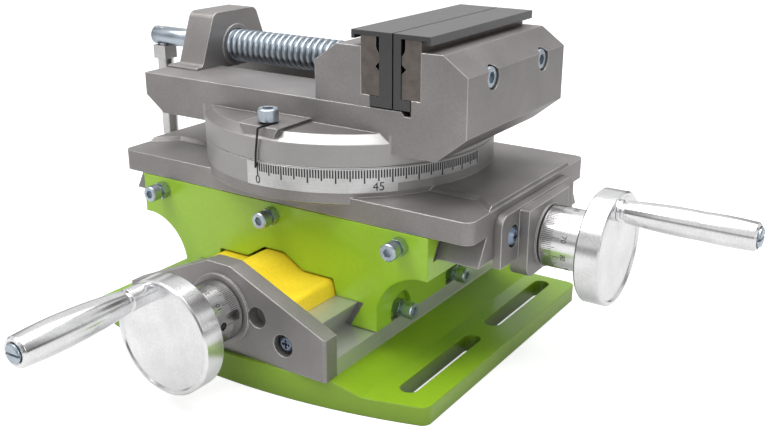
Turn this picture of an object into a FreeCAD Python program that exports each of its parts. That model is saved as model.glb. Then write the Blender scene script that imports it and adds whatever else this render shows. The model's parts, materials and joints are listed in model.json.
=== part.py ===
"""Cross slide vise: a swivel vise on two dovetail slides, each moved by a crank and lead screw.

Frame: the origin is the centre of the underside of the base, X to the right along the upper slide,
Y to the back along the lower slide, Z up.  Lengths are millimetres, angles are degrees.
"""
import FreeCAD, Part
import math
import os
import re
import Sketcher

V = FreeCAD.Vector
Rotation = FreeCAD.Rotation
os.makedirs("parts", exist_ok=True)
doc = FreeCAD.newDocument("cross_slide_vise")
sheet = doc.addObject("Spreadsheet::Sheet", "sizes")
sheet.Label = "sizes"

DRIVING = {
    # base casting
    "base_width": 212, "base_length": 164, "front_bow": 17, "base_corner": 5,
    "flange_thickness": 9, "strip_height": 23, "skirt_width": 153, "body_width": 122,
    "rail_overhang": 5.7, "plate_hole_depth": 16,
    "rail_width": 101.6, "rail_height": 13.6, "dovetail_angle": 60,
    "slot_width": 9, "slot_length": 68, "slot_pitch": 82, "slot_spread": 179,
    "screw_channel_width": 24, "screw_channel_depth": 11, "foot_rim": 9, "foot_relief": 3, "foot_rib": 9,
    # front end plate
    "plate_width": 122.6, "plate_thickness": 9, "plate_low": 14.5, "plate_side_top": 35.3,
    "plate_peak": 59, "plate_peak_width": 14, "plate_corner": 6, "plate_edge": 1.6,
    "plate_ring_radius": 17.6, "plate_ring_proud": 1,
    "plate_screw_spread": 74.8, "plate_screw_rise": 26.6, "spare_hole_spread": 44.8,
    "spare_hole_radius": 5.2, "spare_hole_depth": 6.8, "spare_hole_rise": 36.9,
    "counterbore_radius": 5.5, "counterbore_depth": 5,
    # screw covers
    "cover_thickness": 1.5, "cover_foot_width": 74.6, "cover_wing_width": 71, "cover_wing_rise": 7.8,
    "cover_hump_width": 34, "cover_hump_top_width": 11, "cover_hump_rise": 7.2,
    "cover_front_length": 46, "cover_rear_length": 45,
    # lead screws and cranks
    "lower_axis_height": 36.1, "lead_screw_radius": 6, "journal_radius": 4.8, "fit": 0.05,
    "thread_clearance": 0.1, "thrust_collar_radius": 7.2, "thrust_collar_width": 4,
    "collar_radius": 15, "lower_collar_length": 26, "upper_collar_length": 23,
    "wheel_radius": 27.4, "wheel_thickness": 11.5, "wheel_rim": 2, "wheel_dish": 0.8,
    "grip_throw": 21.6, "lower_grip_length": 67.4, "lower_grip_base": 5.4, "lower_grip_belly": 7.6,
    "lower_grip_tip": 6.9, "upper_grip_length": 62.5, "upper_grip_base": 5.2, "upper_grip_belly": 6.5,
    "upper_grip_tip": 6.3, "grip_screw_radius": 3, "grip_screw_head": 4.4, "grip_screw_head_height": 3,
    "grip_fit": 0.1, "lower_grip_boss": 8, "upper_grip_boss": 1.2, "grip_boss_radius": 5.2,
    "grip_screw_depth": 7.5, "lower_grip_angle": 116.5, "upper_grip_angle": 105, "run_gap": 0.3,
    "lower_screw_reach": 60, "upper_screw_reach": 98, "set_screw_radius": 2,
    # saddle
    "saddle_shift": 6.3, "saddle_length": 125, "saddle_width": 179, "saddle_top": 77.3,
    "saddle_flange_bottom": 56, "saddle_waist": 123.5, "saddle_foot_gap": 0.4, "saddle_curve": 21,
    "saddle_lip": 5, "saddle_arc": 26, "gib_hole_depth": 14,
    "slide_clearance": 0.15, "gib_thickness": 2.6, "gib_inset": 1, "gib_screw_proud": 6,
    "dog_point_radius": 1.2, "dog_point_length": 2.5, "arch_gap": 0.9,
    "side_screw_rise": 28, "side_screw_front": 41, "side_screw_back": 12, "side_pocket_radius": 9,
    "side_pocket_depth": 3, "front_screw_pitch": 74.8, "front_screw_height": 70.7,
    "lower_nut_width": 19.2, "lower_nut_length": 32, "lower_nut_low": 27.6, "lower_nut_screws": 23.2,
    "upper_nut_width": 27.6, "upper_nut_length": 24, "upper_nut_top": 74.6, "upper_nut_place": 26,
    "upper_nut_screws": 21.2, "nut_head_depth": 5.5, "small_head_seat": 4.7,
    # slide table
    "table_shift": 3.45, "table_length": 214.6, "table_thickness": 10.8, "table_gap": 0.3,
    "table_corner": 5, "plateau_rise": 2, "plateau_width": 65.4, "plateau_end_width": 88,
    "plateau_end_run": 13, "boss_radius": 76, "boss_rise": 14.45, "boss_foot_radius": 64,
    "upper_rail_width": 109, "upper_rail_height": 12.9, "upper_axis_height": 66.1,
    "upper_channel_width": 30, "upper_channel_depth": 10.8, "t_slot_circle": 67, "t_slot_neck": 6.8,
    "t_slot_width": 10.6, "t_slot_neck_depth": 4.5, "t_slot_height": 4.6,
    "scale_thickness": 0.35, "scale_glue": 0.03, "scale_width": 11.6, "scale_narrow": 7.6,
    "scale_lead": 5,
    "scale_wide_angle": 52, "scale_full_angle": 91, "scale_drop": 0.6,
    # end bracket
    "bracket_width": 80.6, "bracket_low": 60.3, "bracket_high": 85.2, "bracket_plate": 4,
    "bracket_block_width": 45, "bracket_block_low": 50.3, "bracket_block_high": 84.2,
    "bracket_block": 5, "bracket_ring_radius": 15.7, "bracket_ring_proud": 1, "bracket_corner": 6,
    "bracket_screw_spread": 56.4, "bracket_screw_rise": 73,
    # vise body
    "disc_gap": 0.25, "disc_thickness": 14.6, "disc_chamfer": 4, "vise_width": 100, "vise_left": 99.4,
    "vise_left_low": 87.5, "vise_left_shoulder": 8.7, "vise_bottom": 108.8, "bed_height": 129.5,
    "vise_right": 97.1, "vise_right_low": 81.9, "right_shoulder_low": 12.3, "right_shoulder_top": 148.4,
    "jaw_top": 157.1, "jaw_top_edge": 84.7, "fixed_seat": 73.5, "fixed_wall": 68.5, "plate_ledge": 135.2,
    "notch_width": 5, "notch_depth": 2,
    "bed_slot_width": 28, "bed_slot_floor": 112.6, "keeper_channel_width": 46,
    "keeper_channel_top": 120.9,
    "bed_slot_end": 58, "pivot_radius": 8, "pivot_height": 16.6, "pivot_rise": 94,
    "lug_width": 24, "lug_rise": 1.7, "pointer_wire": 1, "lug_low_width": 9, "clamp_hole_radius": 3.3,
    # screw bracket
    "nut_right": 78, "nut_tower_left": 95.4, "nut_foot_width": 66, "nut_foot_thickness": 3.2,
    "nut_tower_width": 56, "nut_top_width": 34, "nut_top": 158.5, "nut_ring_radius": 14.5,
    "nut_corner": 5, "nut_bolt_spread": 44,
    # vise screw and its handle
    "vise_axis_height": 139.2, "vise_screw_radius": 8.9, "vise_journal_radius": 6.8,
    "vise_journal_length": 21, "vise_end_radius": 5.3, "vise_end_length": 39.6, "handle_place": 33.4,
    "handle_radius": 4.6, "handle_block": 9.4, "handle_block_low": 126, "handle_low": 79,
    "tenon_radius": 3, "retainer_radius": 2.6,
    # movable jaw, plates and covers
    "jaw_left": 15.1, "jaw_seat": 41.6, "jaw_front": 46.3, "jaw_top_left": 28, "jaw_shoulder": 148.3,
    "jaw_gap": 0.15, "jaw_plate_thickness": 10, "jaw_plate_height": 26.9, "jaw_plate_step": 1.8,
    "jaw_plate_step_height": 7.5, "vee_depth": 2.4, "vee_rise": 13.5, "vee_half": 2.2,
    "cover_cap": 2.1, "cover_lip": 1.8, "cover_split": 0.7, "cover_lip_low": 160.4,
    "cover_foot_low": 130.2, "cover_overhang": 0.4, "jaw_screw_spread": 52.4,
    "jaw_screw_height": 144.8, "keeper_thickness": 7.4, "keeper_width": 43, "keeper_margin": 2,
    "guide_clearance": 0.2,
}


class Size:
    """A number together with the formula that gives it from the named sizes."""

    def __init__(self, value, formula):
        self.value = float(value)
        self.formula = formula

    def __add__(self, other):
        return combine(self, "+", other)

    def __radd__(self, other):
        return combine(other, "+", self)

    def __sub__(self, other):
        return combine(self, "-", other)

    def __rsub__(self, other):
        return combine(other, "-", self)

    def __mul__(self, other):
        return combine(self, "*", other)

    def __rmul__(self, other):
        return combine(other, "*", self)

    def __truediv__(self, other):
        return combine(self, "/", other)

    def __neg__(self):
        return combine(0, "-", self)


def size_of(value):
    """Any number or Size as a Size."""
    return value if isinstance(value, Size) else Size(value, repr(float(value)))


def combine(first, sign, second):
    """One step of arithmetic on two sizes, done on the numbers and on the formulas."""
    a = size_of(first)
    b = size_of(second)
    numbers = {"+": a.value + b.value, "-": a.value - b.value, "*": a.value * b.value}
    result = numbers[sign] if sign in numbers else a.value / b.value
    return Size(result, f"({a.formula} {sign} {b.formula})")


def turn_of(angle, name):
    """The sine, cosine or tangent of an angle in degrees."""
    a = size_of(angle)
    return Size(getattr(math, name)(math.radians(a.value)), f"{name}({a.formula} * 1 deg)")


def add_cell(row, name, content):
    sheet.set(f"A{row}", name)
    sheet.set(f"B{row}", content)
    sheet.setAlias(f"B{row}", name)


class Sizes:
    """The driving sizes as attributes, filled from the sheet."""


def fill_sheet():
    """Writes each driving size into its own cell and gives them back by name."""
    named = Sizes()
    for row, (name, number) in enumerate(DRIVING.items(), start=1):
        add_cell(row, name, str(number))
        setattr(named, name, Size(number, name))
    doc.recompute()
    return named


s = fill_sheet()
WORDS = re.compile(r"[A-Za-z_][A-Za-z_0-9]*")


def bind(thing, place, size):
    """Ties a property or constraint to the sheet, or sets a plain number where no size is named."""
    whole = size_of(size)
    text = WORDS.sub(lambda m: "sizes." + m.group(0) if m.group(0) in DRIVING else m.group(0), whole.formula)
    thing.setExpression(place, text)


def origin_part(body, role):
    return [part for part in body.Origin.OriginFeatures if part.Role == role][0]


NODES = []


def new_body(name, x=0, y=0, z=0, turn=None):
    """An empty body for one named piece, with its own place."""
    body = doc.addObject("PartDesign::Body", name)
    body.Label = name
    body.AllowCompound = True
    if turn is not None:
        body.Placement = FreeCAD.Placement(V(), turn)
    for axis, size in (("x", x), ("y", y), ("z", z)):
        bind(body, f"Placement.Base.{axis}", size)
    NODES.append(body)
    return body


def new_sketch(body, plane, offset=0):
    sketch = body.newObject("Sketcher::SketchObject", body.Name + "_profile")
    sketch.AttachmentSupport = [(origin_part(body, plane), "")]
    sketch.MapMode = "FlatFace"
    bind(sketch, "AttachmentOffset.Base.z", offset)
    return sketch


def fix_point(sketch, index, end, x, y):
    """Fixes one end of a line or arc, or a centre, by its distances from the sketch's origin."""
    for kind, size in (("DistanceX", x), ("DistanceY", y)):
        known = size_of(size)
        number = sketch.addConstraint(Sketcher.Constraint(kind, -1, 1, index, end, known.value))
        bind(sketch, f"Constraints[{number}]", known)


def arc_between(first, last, radius):
    """The shorter arc from first to last; a positive radius has its centre on the left of the way."""
    chord = last - first
    middle = (first + last) * 0.5
    size = abs(radius)
    rise = math.sqrt(max(size * size - chord.Length ** 2 / 4, 0))
    left = V(-chord.y, chord.x, 0).normalize()
    centre = middle + left * (rise if radius > 0 else -rise)
    start, stop = (first, last) if radius > 0 else (last, first)
    angles = [math.atan2(p.y - centre.y, p.x - centre.x) for p in (start, stop)]
    return Part.ArcOfCircle(Part.Circle(centre, V(0, 0, 1), size), angles[0], angles[1])


def draw(sketch, points):
    """Draws one closed outline.  A point is (x, y), or (x, y, radius) where an arc leaves it."""
    corners = [V(size_of(p[0]).value, size_of(p[1]).value, 0) for p in points]
    first = sketch.GeometryCount
    ends = []
    for i, point in enumerate(points):
        here, there = corners[i], corners[(i + 1) % len(points)]
        if len(point) == 3:
            radius = size_of(point[2])
            sketch.addGeometry(arc_between(here, there, radius.value))
            ends.append((1, 2) if radius.value > 0 else (2, 1))
        else:
            sketch.addGeometry(Part.LineSegment(here, there))
            ends.append((1, 2))
    for i, point in enumerate(points):
        following = (i + 1) % len(points)
        link = Sketcher.Constraint("Coincident", first + i, ends[i][1], first + following, ends[following][0])
        sketch.addConstraint(link)
        fix_point(sketch, first + i, ends[i][0], point[0], point[1])
        if len(point) == 3:
            radius = size_of(point[2])
            bow = radius if radius.value > 0 else -radius
            number = sketch.addConstraint(Sketcher.Constraint("Radius", first + i, bow.value))
            bind(sketch, f"Constraints[{number}]", bow)


def ring(sketch, x, y, radius):
    """Draws one full circle."""
    known = size_of(radius)
    circle = Part.Circle(V(size_of(x).value, size_of(y).value, 0), V(0, 0, 1), known.value)
    index = sketch.addGeometry(circle)
    fix_point(sketch, index, 3, x, y)
    number = sketch.addConstraint(Sketcher.Constraint("Radius", index, known.value))
    bind(sketch, f"Constraints[{number}]", known)


def hexagon(sketch, x, y, across):
    """Draws a hexagon by the distance across its flats."""
    half = across / 2
    tall = half / turn_of(60, "sin")
    corners = []
    for step in range(6):
        corners.append((x + tall * turn_of(60 * step, "cos"), y + tall * turn_of(60 * step, "sin")))
    draw(sketch, corners)


def circle_outline(x, y, radius):
    return lambda sketch: ring(sketch, x, y, radius)


def closed(points):
    return lambda sketch: draw(sketch, points)


def rectangle(left, right, low, high):
    return closed([(left, low), (right, low), (right, high), (left, high)])


def slot_outline(x, y, width, length):
    """A long hole with round ends, lying along the sketch's second axis."""
    half = width / 2
    straight = length / 2 - half
    return closed([(x - half, y - straight, half), (x, y - straight - half, half), (x + half, y - straight),
                   (x + half, y + straight, half), (x, y + straight + half, half), (x - half, y + straight)])


PLANES = {"x": ("YZ_Plane", 1), "y": ("XZ_Plane", -1), "z": ("XY_Plane", 1)}


def extrude(kind, body, axis, low, high, outlines):
    """Adds or cuts a straight form between two places on an axis; outlines are drawn across that axis."""
    plane, sense = PLANES[axis]
    start = low if sense > 0 else -high
    sketch = new_sketch(body, plane, start)
    for outline in outlines:
        outline(sketch)
    before = body.Shape.Volume if body.Tip else 0
    feature = body.newObject("PartDesign::" + kind, body.Name + "_" + kind.lower())
    feature.Profile = sketch
    bind(feature, "Length", high - low)
    feature.Reversed = kind == "Pocket"
    doc.recompute()
    check_change(body, feature, kind, before)
    return feature


def add(body, axis, low, high, *outlines):
    return extrude("Pad", body, axis, size_of(low), size_of(high), outlines)


def cut(body, axis, low, high, *outlines):
    return extrude("Pocket", body, axis, size_of(low), size_of(high), outlines)


def check_change(body, feature, kind, before):
    """Stops where a feature failed, or a cut took nothing away."""
    if not feature.isValid() or feature.Shape.isNull():
        raise RuntimeError(f"{body.Label}: {feature.Name} failed")
    removed = before - feature.Shape.Volume
    if kind in ("Pocket", "Groove") and removed < 1e-6:
        raise RuntimeError(f"{body.Label}: {feature.Name} cut nothing")


def spin(body, outline, kind="Revolution", angle=360, plane="XZ_Plane"):
    """Turns an outline of (radius, height) points about the upright axis of the piece."""
    sketch = new_sketch(body, plane)
    outline(sketch)
    before = body.Shape.Volume if body.Tip else 0
    feature = body.newObject("PartDesign::" + kind, body.Name + "_" + kind.lower())
    feature.Profile = sketch
    feature.ReferenceAxis = (sketch, ["V_Axis"])
    feature.Angle = angle
    doc.recompute()
    check_change(body, feature, kind, before)
    return feature


def near(value, target, slack=0.01):
    return abs(value - size_of(target).value) < slack


def edges_of(body, test):
    """The names of the body's edges whose middle and direction pass a test."""
    names = []
    for number, edge in enumerate(body.Shape.Edges, start=1):
        inverse = body.Placement.inverse()
        ends = [inverse.multVec(vertex.Point) for vertex in edge.Vertexes]
        middle = inverse.multVec(edge.valueAt((edge.FirstParameter + edge.LastParameter) / 2))
        if test(middle, ends):
            names.append(f"Edge{number}")
    return names


def soften(body, kind, size, test):
    """Rounds (Fillet) or bevels (Chamfer) the edges that pass a test."""
    names = edges_of(body, test)
    if not names:
        raise RuntimeError(f"{body.Label}: no edge to soften")
    base = body.Tip
    feature = body.newObject("PartDesign::" + kind, body.Name + "_" + kind.lower())
    feature.Base = (base, names)
    bind(feature, "Radius" if kind == "Fillet" else "Size", size_of(size))
    doc.recompute()
    check_change(body, feature, kind, 0)
    return feature


def upright(ends):
    return len(ends) == 2 and (ends[0] - ends[1]).Length > 0.1 and near(abs((ends[0] - ends[1]).z),
                                                                        (ends[0] - ends[1]).Length)


def row_of(body, axis, span, count):
    """Repeats all that the body holds, evenly over a span along an axis."""
    made = [f for f in body.Group if f.TypeId.startswith("PartDesign::") and f.TypeId != "PartDesign::Body"]
    pattern = body.newObject("PartDesign::LinearPattern", body.Name + "_row")
    pattern.Originals = made
    pattern.Direction = (origin_part(body, axis + "_Axis"), [""])
    bind(pattern, "Length", span)
    pattern.Occurrences = count
    body.Tip = pattern
    doc.recompute()
    check_change(body, pattern, "row", 0)
    return pattern


ALONG_X = Rotation(V(0, 1, 0), 90)
TO_FRONT = Rotation(V(1, 0, 0), 90)
DOWN = Rotation(V(1, 0, 0), 180)


def turned(name, steps, x=0, y=0, z=0, turn=None, bore=0):
    """A round piece from (radius, height) steps, the first at the bottom, with an optional bore."""
    body = new_body(name, x, y, z, turn)
    bottom = steps[0][1]
    top = steps[-1][1]
    outline = [(bore, bottom)] + steps + [(bore, top)]
    spin(body, closed(outline))
    return body


def cap_screw(name, shank_radius, shank, head_radius, head, socket, point=None, **place):
    """A socket head screw: its shank runs down from the seat of the head at height 0, to a dog point if any."""
    steps = [(shank_radius, 0), (head_radius, 0), (head_radius, head - 0.5), (head_radius - 0.5, head)]
    if point is None:
        steps = [(shank_radius, -shank)] + steps
    else:
        radius, length = point
        steps = [(radius, -shank), (radius, -shank + length), (shank_radius, -shank + length)] + steps
    body = turned(name, steps, **place)
    cut(body, "z", head - socket / 2, head, lambda sketch: hexagon(sketch, 0, 0, size_of(socket)))
    return body


def cross_screw(name, shank_radius, shank, head_radius, head, **place):
    """A pan head screw with a cross recess."""
    steps = [(shank_radius, -shank), (shank_radius, 0), (head_radius, 0), (head_radius, head * 0.45),
             (head_radius * 0.62, head)]
    body = turned(name, steps, **place)
    arm = head_radius * 0.5
    slit = head_radius * 0.13
    bars = [(arm, slit), (slit, arm)]
    for wide, tall in bars:
        cut(body, "z", head * 0.45, head,
            closed([(-wide, -tall), (wide, -tall), (wide, tall), (-wide, tall)]))
    return body


def hex_nut(name, across, height, bore, **place):
    body = new_body(name, **place)
    add(body, "z", 0, height, lambda sketch: hexagon(sketch, 0, 0, size_of(across)),
        circle_outline(0, 0, bore))
    return body


def mirrored_outline(half):
    """An outline that is the same on both sides of x = 0, from the points of its right half."""
    left = [(-x, z) for x, z in reversed(half)]
    return closed(half + left)


DOG_POINT = (s.dog_point_radius, s.dog_point_length)
M5 = {"shank": 2.5, "head": 4.25, "height": 5, "socket": 4, "nut": 8, "nut_height": 4}
M6 = {"shank": 3, "head": 5, "height": 6, "socket": 5, "nut": 10, "nut_height": 5}

# Places that more than one piece reads.
half_length = s.base_length / 2
rail_top = s.strip_height + s.rail_height
plate_back = half_length + s.rail_overhang
plate_front = plate_back + s.plate_thickness
dovetail_tan = turn_of(s.dovetail_angle, "tan")
dovetail_sin = turn_of(s.dovetail_angle, "sin")
side_run = s.slide_clearance / dovetail_sin
gib_width = s.gib_thickness / dovetail_sin
gib_run = gib_width + 2 * side_run
point_gap = s.dog_point_radius / dovetail_tan + 0.1
saddle_half = s.saddle_length / 2
saddle_foot = s.strip_height + s.saddle_foot_gap
channel_roof = rail_top + s.slide_clearance
table_under = s.saddle_top + s.table_gap
strip_top = table_under + s.table_thickness
boss_top = strip_top + s.boss_rise
upper_rail_low = table_under - s.upper_rail_height
saddle_floor = upper_rail_low - s.slide_clearance
table_half = s.table_length / 2
disc_low = boss_top + s.disc_gap
disc_top = disc_low + s.disc_thickness
vise_half = s.vise_width / 2
lower_screw_collar = plate_front + s.plate_ring_proud + s.run_gap
lower_wheel = lower_screw_collar + s.lower_collar_length
lower_face = lower_wheel + s.wheel_thickness
bracket_face = table_half + s.bracket_plate + s.bracket_block
upper_screw_collar = bracket_face + s.bracket_ring_proud + s.run_gap
upper_wheel = upper_screw_collar + s.upper_collar_length
upper_face = upper_wheel + s.wheel_thickness


def lower_flank(height):
    """Half the width of the base's dovetail rail at a height; it widens upwards."""
    return s.rail_width / 2 - (rail_top - height) / dovetail_tan


def upper_flank(height):
    """Half the width of the table's dovetail rail at a height; it widens downwards."""
    return s.upper_rail_width / 2 - (height - upper_rail_low) / dovetail_tan


def cover_outline(grow):
    """Half of the screw cover's outer profile above the rail, with a gap added for the saddle's arch."""
    return [(s.cover_foot_width / 2 + grow, rail_top), (s.cover_wing_width / 2 + grow, rail_top + s.cover_wing_rise
            + grow), (s.cover_hump_width / 2 + grow, rail_top + s.cover_wing_rise + grow),
            (s.cover_hump_top_width / 2 + grow, rail_top + s.cover_wing_rise + s.cover_hump_rise + grow)]


arch_half, arch_top = cover_outline(s.arch_gap)[3]
wing_top = cover_outline(s.arch_gap)[1][1]


def make_base_casting():
    """The base: bolt-down flanges, bowed front, body, dovetail rail and the channel for the lead screw."""
    body = new_body("base_casting")
    half = s.base_width / 2
    bow_radius = (half * half + s.front_bow * s.front_bow) / (2 * s.front_bow)
    plan = [(-half, -half_length, bow_radius), (half, -half_length), (half, half_length), (-half, half_length)]
    add(body, "z", 0, s.flange_thickness, closed(plan))
    soften(body, "Fillet", s.base_corner, lambda middle, ends: upright(ends))
    low = s.skirt_width / 2
    wall = s.body_width / 2
    front = half_length + s.front_bow
    add(body, "y", -front, half_length, mirrored_outline([(low, s.flange_thickness), (wall, s.plate_low)]))
    ahead = [(-half, -half_length, bow_radius), (half, -half_length), (half, -front - 1), (-half, -front - 1)]
    cut(body, "z", s.flange_thickness, s.plate_low, closed(ahead))
    add(body, "y", -plate_back, half_length, mirrored_outline([(wall, s.plate_low), (wall, s.strip_height)]))
    rail = [(lower_flank(rail_top), rail_top), (lower_flank(s.strip_height), s.strip_height)]
    add(body, "y", -plate_back, half_length, mirrored_outline(rail))
    floor = rail_top - s.screw_channel_depth
    channel = s.screw_channel_width / 2
    cut(body, "y", -plate_back, half_length,
        closed([(-channel, rail_top), (-channel, floor), (channel, floor), (channel, rail_top)]))
    for side in (-1, 1):
        for end in (-1, 1):
            cut(body, "z", 0, s.flange_thickness,
                slot_outline(side * s.slot_spread / 2, end * s.slot_pitch / 2, s.slot_width, s.slot_length))
            cut(body, "z", 0, s.foot_relief, rectangle(side * s.foot_rib / 2, side * (low - s.foot_rim),
                                                       end * s.foot_rib / 2, end * (half_length - s.foot_rim)))
    for side in (-1, 1):
        cut(body, "y", -plate_back, -plate_back + s.plate_hole_depth,
            circle_outline(side * s.plate_screw_spread / 2, s.plate_screw_rise, M5["shank"] + s.fit))
    return body


def make_end_plate():
    """The grey plate on the front of the rail, with the ring that the graduated collar runs against."""
    body = new_body("end_plate")
    half = s.plate_width / 2
    peak_half = s.plate_peak_width / 2
    shape = [(half, s.plate_low), (half, s.plate_side_top), (peak_half, s.plate_peak)]
    add(body, "y", -plate_front, -plate_back, mirrored_outline(shape))
    soften(body, "Fillet", s.plate_corner, lambda middle, ends: near(abs(middle.x), peak_half, 0.1))
    soften(body, "Fillet", s.plate_edge,
           lambda middle, ends: near(abs(middle.x), half, 0.1) and near(middle.y, -plate_front, 0.1))
    add(body, "y", -plate_front - s.plate_ring_proud, -plate_front,
        circle_outline(0, s.lower_axis_height, s.plate_ring_radius))
    cut(body, "y", -plate_front - s.plate_ring_proud, -plate_back,
        circle_outline(0, s.lower_axis_height, s.journal_radius + s.fit))
    for side in (-1, 1):
        x = side * s.plate_screw_spread / 2
        cut(body, "y", -plate_front, -plate_back, circle_outline(x, s.plate_screw_rise, M5["shank"] + s.fit))
        cut(body, "y", -plate_front, -plate_front + s.counterbore_depth,
            circle_outline(x, s.plate_screw_rise, s.counterbore_radius))
        cut(body, "y", -plate_front, -plate_front + s.spare_hole_depth,
            circle_outline(side * s.spare_hole_spread / 2, s.spare_hole_rise, s.spare_hole_radius))
    return body


def make_end_plate_screws():
    seat = plate_front - s.counterbore_depth
    body = cross_screw("end_plate_screws", M5["shank"], 18, 4.6, 3.2, x=-s.plate_screw_spread / 2, y=-seat,
                       z=s.plate_screw_rise, turn=TO_FRONT)
    row_of(body, "X", s.plate_screw_spread, 2)
    return body


def make_screw_cover(name, front, back):
    """A bent yellow cover over the lead screw, standing on the rail."""
    body = new_body(name)
    outer = cover_outline(0)
    wall = s.cover_thickness
    inner = [(x - wall, z) for x, z in outer[:1]] + [(x - wall, z - wall) for x, z in outer[1:]]
    profile = outer + [(-x, z) for x, z in reversed(outer)] + [(-x, z) for x, z in inner] + list(reversed(inner))
    add(body, "y", front, back, closed(profile))
    return body


def make_lead_screw(name, collar_gap, journal_end, reach, face, **place):
    """A lead screw lying along its own Z axis, which points at the crank; height 0 is the slide's middle."""
    thread_end = collar_gap
    steps = [(s.lead_screw_radius - 1, -reach), (s.lead_screw_radius, -reach + 1),
             (s.lead_screw_radius, thread_end), (s.journal_radius, thread_end),
             (s.journal_radius, face - s.wheel_dish - 1)]
    return turned(name, steps, **place)


def make_thrust_collar(name, low, high, **place):
    steps = [(s.thrust_collar_radius, low), (s.thrust_collar_radius, high)]
    return turned(name, steps, bore=s.journal_radius, **place)


def make_graduated_collar(name, low, length, **place):
    """The dial collar: a sleeve with a bevelled front edge and a radial hole for its set screw."""
    high = low + length
    steps = [(s.collar_radius - 0.6, low), (s.collar_radius, low + 0.6), (s.collar_radius, high - s.run_gap)]
    body = turned(name, steps, bore=s.journal_radius, **place)
    cut(body, "x", s.journal_radius - 1, s.collar_radius + 1,
        circle_outline(0, low + length / 2, s.set_screw_radius))
    return body


def make_collar_set_screw(name, low, length, **place):
    body = new_body(name, **place)
    add(body, "x", s.journal_radius, s.collar_radius - 1.5,
        circle_outline(0, low + length / 2, s.set_screw_radius))
    cut(body, "x", s.collar_radius - 3.5, s.collar_radius - 1.5,
        lambda sketch: hexagon(sketch, 0, low + length / 2, size_of(2)))
    return body


def make_wheel(name, low, throw_angle, boss, **place):
    """The crank wheel: a turned disc, its face dished inside a rim, with a tapped boss for the grip."""
    high = low + s.wheel_thickness
    rim = s.wheel_radius - s.wheel_rim
    steps = [(s.wheel_radius - 0.8, low), (s.wheel_radius, low + 0.8), (s.wheel_radius, high - 0.8),
             (s.wheel_radius - 0.8, high), (rim, high), (rim - s.wheel_dish, high - s.wheel_dish),
             (s.journal_radius, high - s.wheel_dish)]
    body = new_body(name, **place)
    outline = [(0, low)] + steps[:-1] + [(0, high - s.wheel_dish)]
    spin(body, closed(outline))
    cut(body, "z", low, high - s.wheel_dish - 1, circle_outline(0, 0, s.journal_radius))
    x = s.grip_throw * turn_of(throw_angle, "cos")
    y = s.grip_throw * turn_of(throw_angle, "sin")
    seat = high - s.wheel_dish
    add(body, "z", seat, seat + boss, circle_outline(x, y, s.grip_boss_radius))
    cut(body, "z", seat - s.grip_screw_depth, seat + boss, circle_outline(x, y, s.grip_screw_radius))
    return body


def make_grip(name, length, base, belly, tip, boss, **place):
    """A revolving grip, turned with a neck at the wheel, a long belly and a recessed tip."""
    low = boss + s.run_gap
    bore = s.grip_screw_radius + s.grip_fit
    seat = length - 2
    outline = [(bore, low), (base, low), (base, low + 1.2), (base - 1.2, low + 2), (base - 1.2, low + 3),
               (base, low + 3.6, belly * 40), (belly, length * 0.62, belly * 30), (tip, length - 1),
               (tip - 0.8, length), (s.grip_screw_head + 0.6, length), (s.grip_screw_head + 0.6, seat),
               (bore, seat)]
    body = new_body(name, **place)
    spin(body, closed(outline))
    return body


def make_grip_screw(name, length, **place):
    """The shoulder screw that carries a grip, with a slotted head at the tip."""
    seat = length - 2 + s.run_gap
    top = seat + s.grip_screw_head_height
    steps = [(s.grip_screw_radius, -s.grip_screw_depth), (s.grip_screw_radius, seat), (s.grip_screw_head, seat),
             (s.grip_screw_head, top - 0.6), (s.grip_screw_head - 0.6, top)]
    body = turned(name, steps, **place)
    wide = s.grip_screw_head
    cut(body, "z", top - 1.2, top, closed([(-wide, -0.6), (wide, -0.6), (wide, 0.6), (-wide, 0.6)]))
    return body


def crank_pieces(prefix, gap, collar, collar_length, face, reach, angle, boss, **place):
    """The pieces that turn with one lead screw; gives back the place of the grip's axis on the wheel."""
    make_lead_screw(prefix + "_lead_screw", gap, collar, reach, face, **place)
    make_thrust_collar(prefix + "_thrust_collar", gap, gap + s.thrust_collar_width, **place)
    make_graduated_collar(prefix + "_graduated_collar", collar, collar_length, **place)
    make_collar_set_screw(prefix + "_collar_set_screw", collar, collar_length, **place)
    make_wheel(prefix + "_crank_wheel", collar + collar_length, angle, boss, **place)
    throw_x = s.grip_throw * turn_of(angle, "cos")
    throw_y = s.grip_throw * turn_of(angle, "sin")
    return throw_x, throw_y


def make_lower_crank():
    """The lower lead screw with its collar, wheel and grip; its axis runs front to back."""
    axis = {"y": 0, "z": s.lower_axis_height, "turn": TO_FRONT}
    gap = plate_back - s.thrust_collar_width - s.run_gap
    x, up = crank_pieces("lower", gap, lower_screw_collar, s.lower_collar_length, lower_face,
                         s.lower_screw_reach, s.lower_grip_angle, s.lower_grip_boss, **axis)
    grip = {"x": x, "y": -lower_face + s.wheel_dish, "z": s.lower_axis_height + up, "turn": TO_FRONT}
    make_grip("lower_crank_grip", s.lower_grip_length, s.lower_grip_base, s.lower_grip_belly,
              s.lower_grip_tip, s.lower_grip_boss, **grip)
    make_grip_screw("lower_grip_screw", s.lower_grip_length, **grip)


def make_upper_crank():
    """The upper lead screw with its collar, wheel and grip; its axis runs left to right."""
    axis = {"x": s.table_shift, "y": s.saddle_shift, "z": s.upper_axis_height, "turn": UPPER_TURN}
    gap = table_half - s.thrust_collar_width - s.run_gap
    x, up = crank_pieces("upper", gap, upper_screw_collar, s.upper_collar_length, upper_face,
                         s.upper_screw_reach, s.upper_grip_angle, s.upper_grip_boss, **axis)
    grip = {"x": s.table_shift + upper_face - s.wheel_dish, "y": s.saddle_shift + x,
            "z": s.upper_axis_height + up, "turn": UPPER_TURN}
    make_grip("upper_crank_grip", s.upper_grip_length, s.upper_grip_base, s.upper_grip_belly,
              s.upper_grip_tip, s.upper_grip_boss, **grip)
    make_grip_screw("upper_grip_screw", s.upper_grip_length, **grip)


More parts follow.
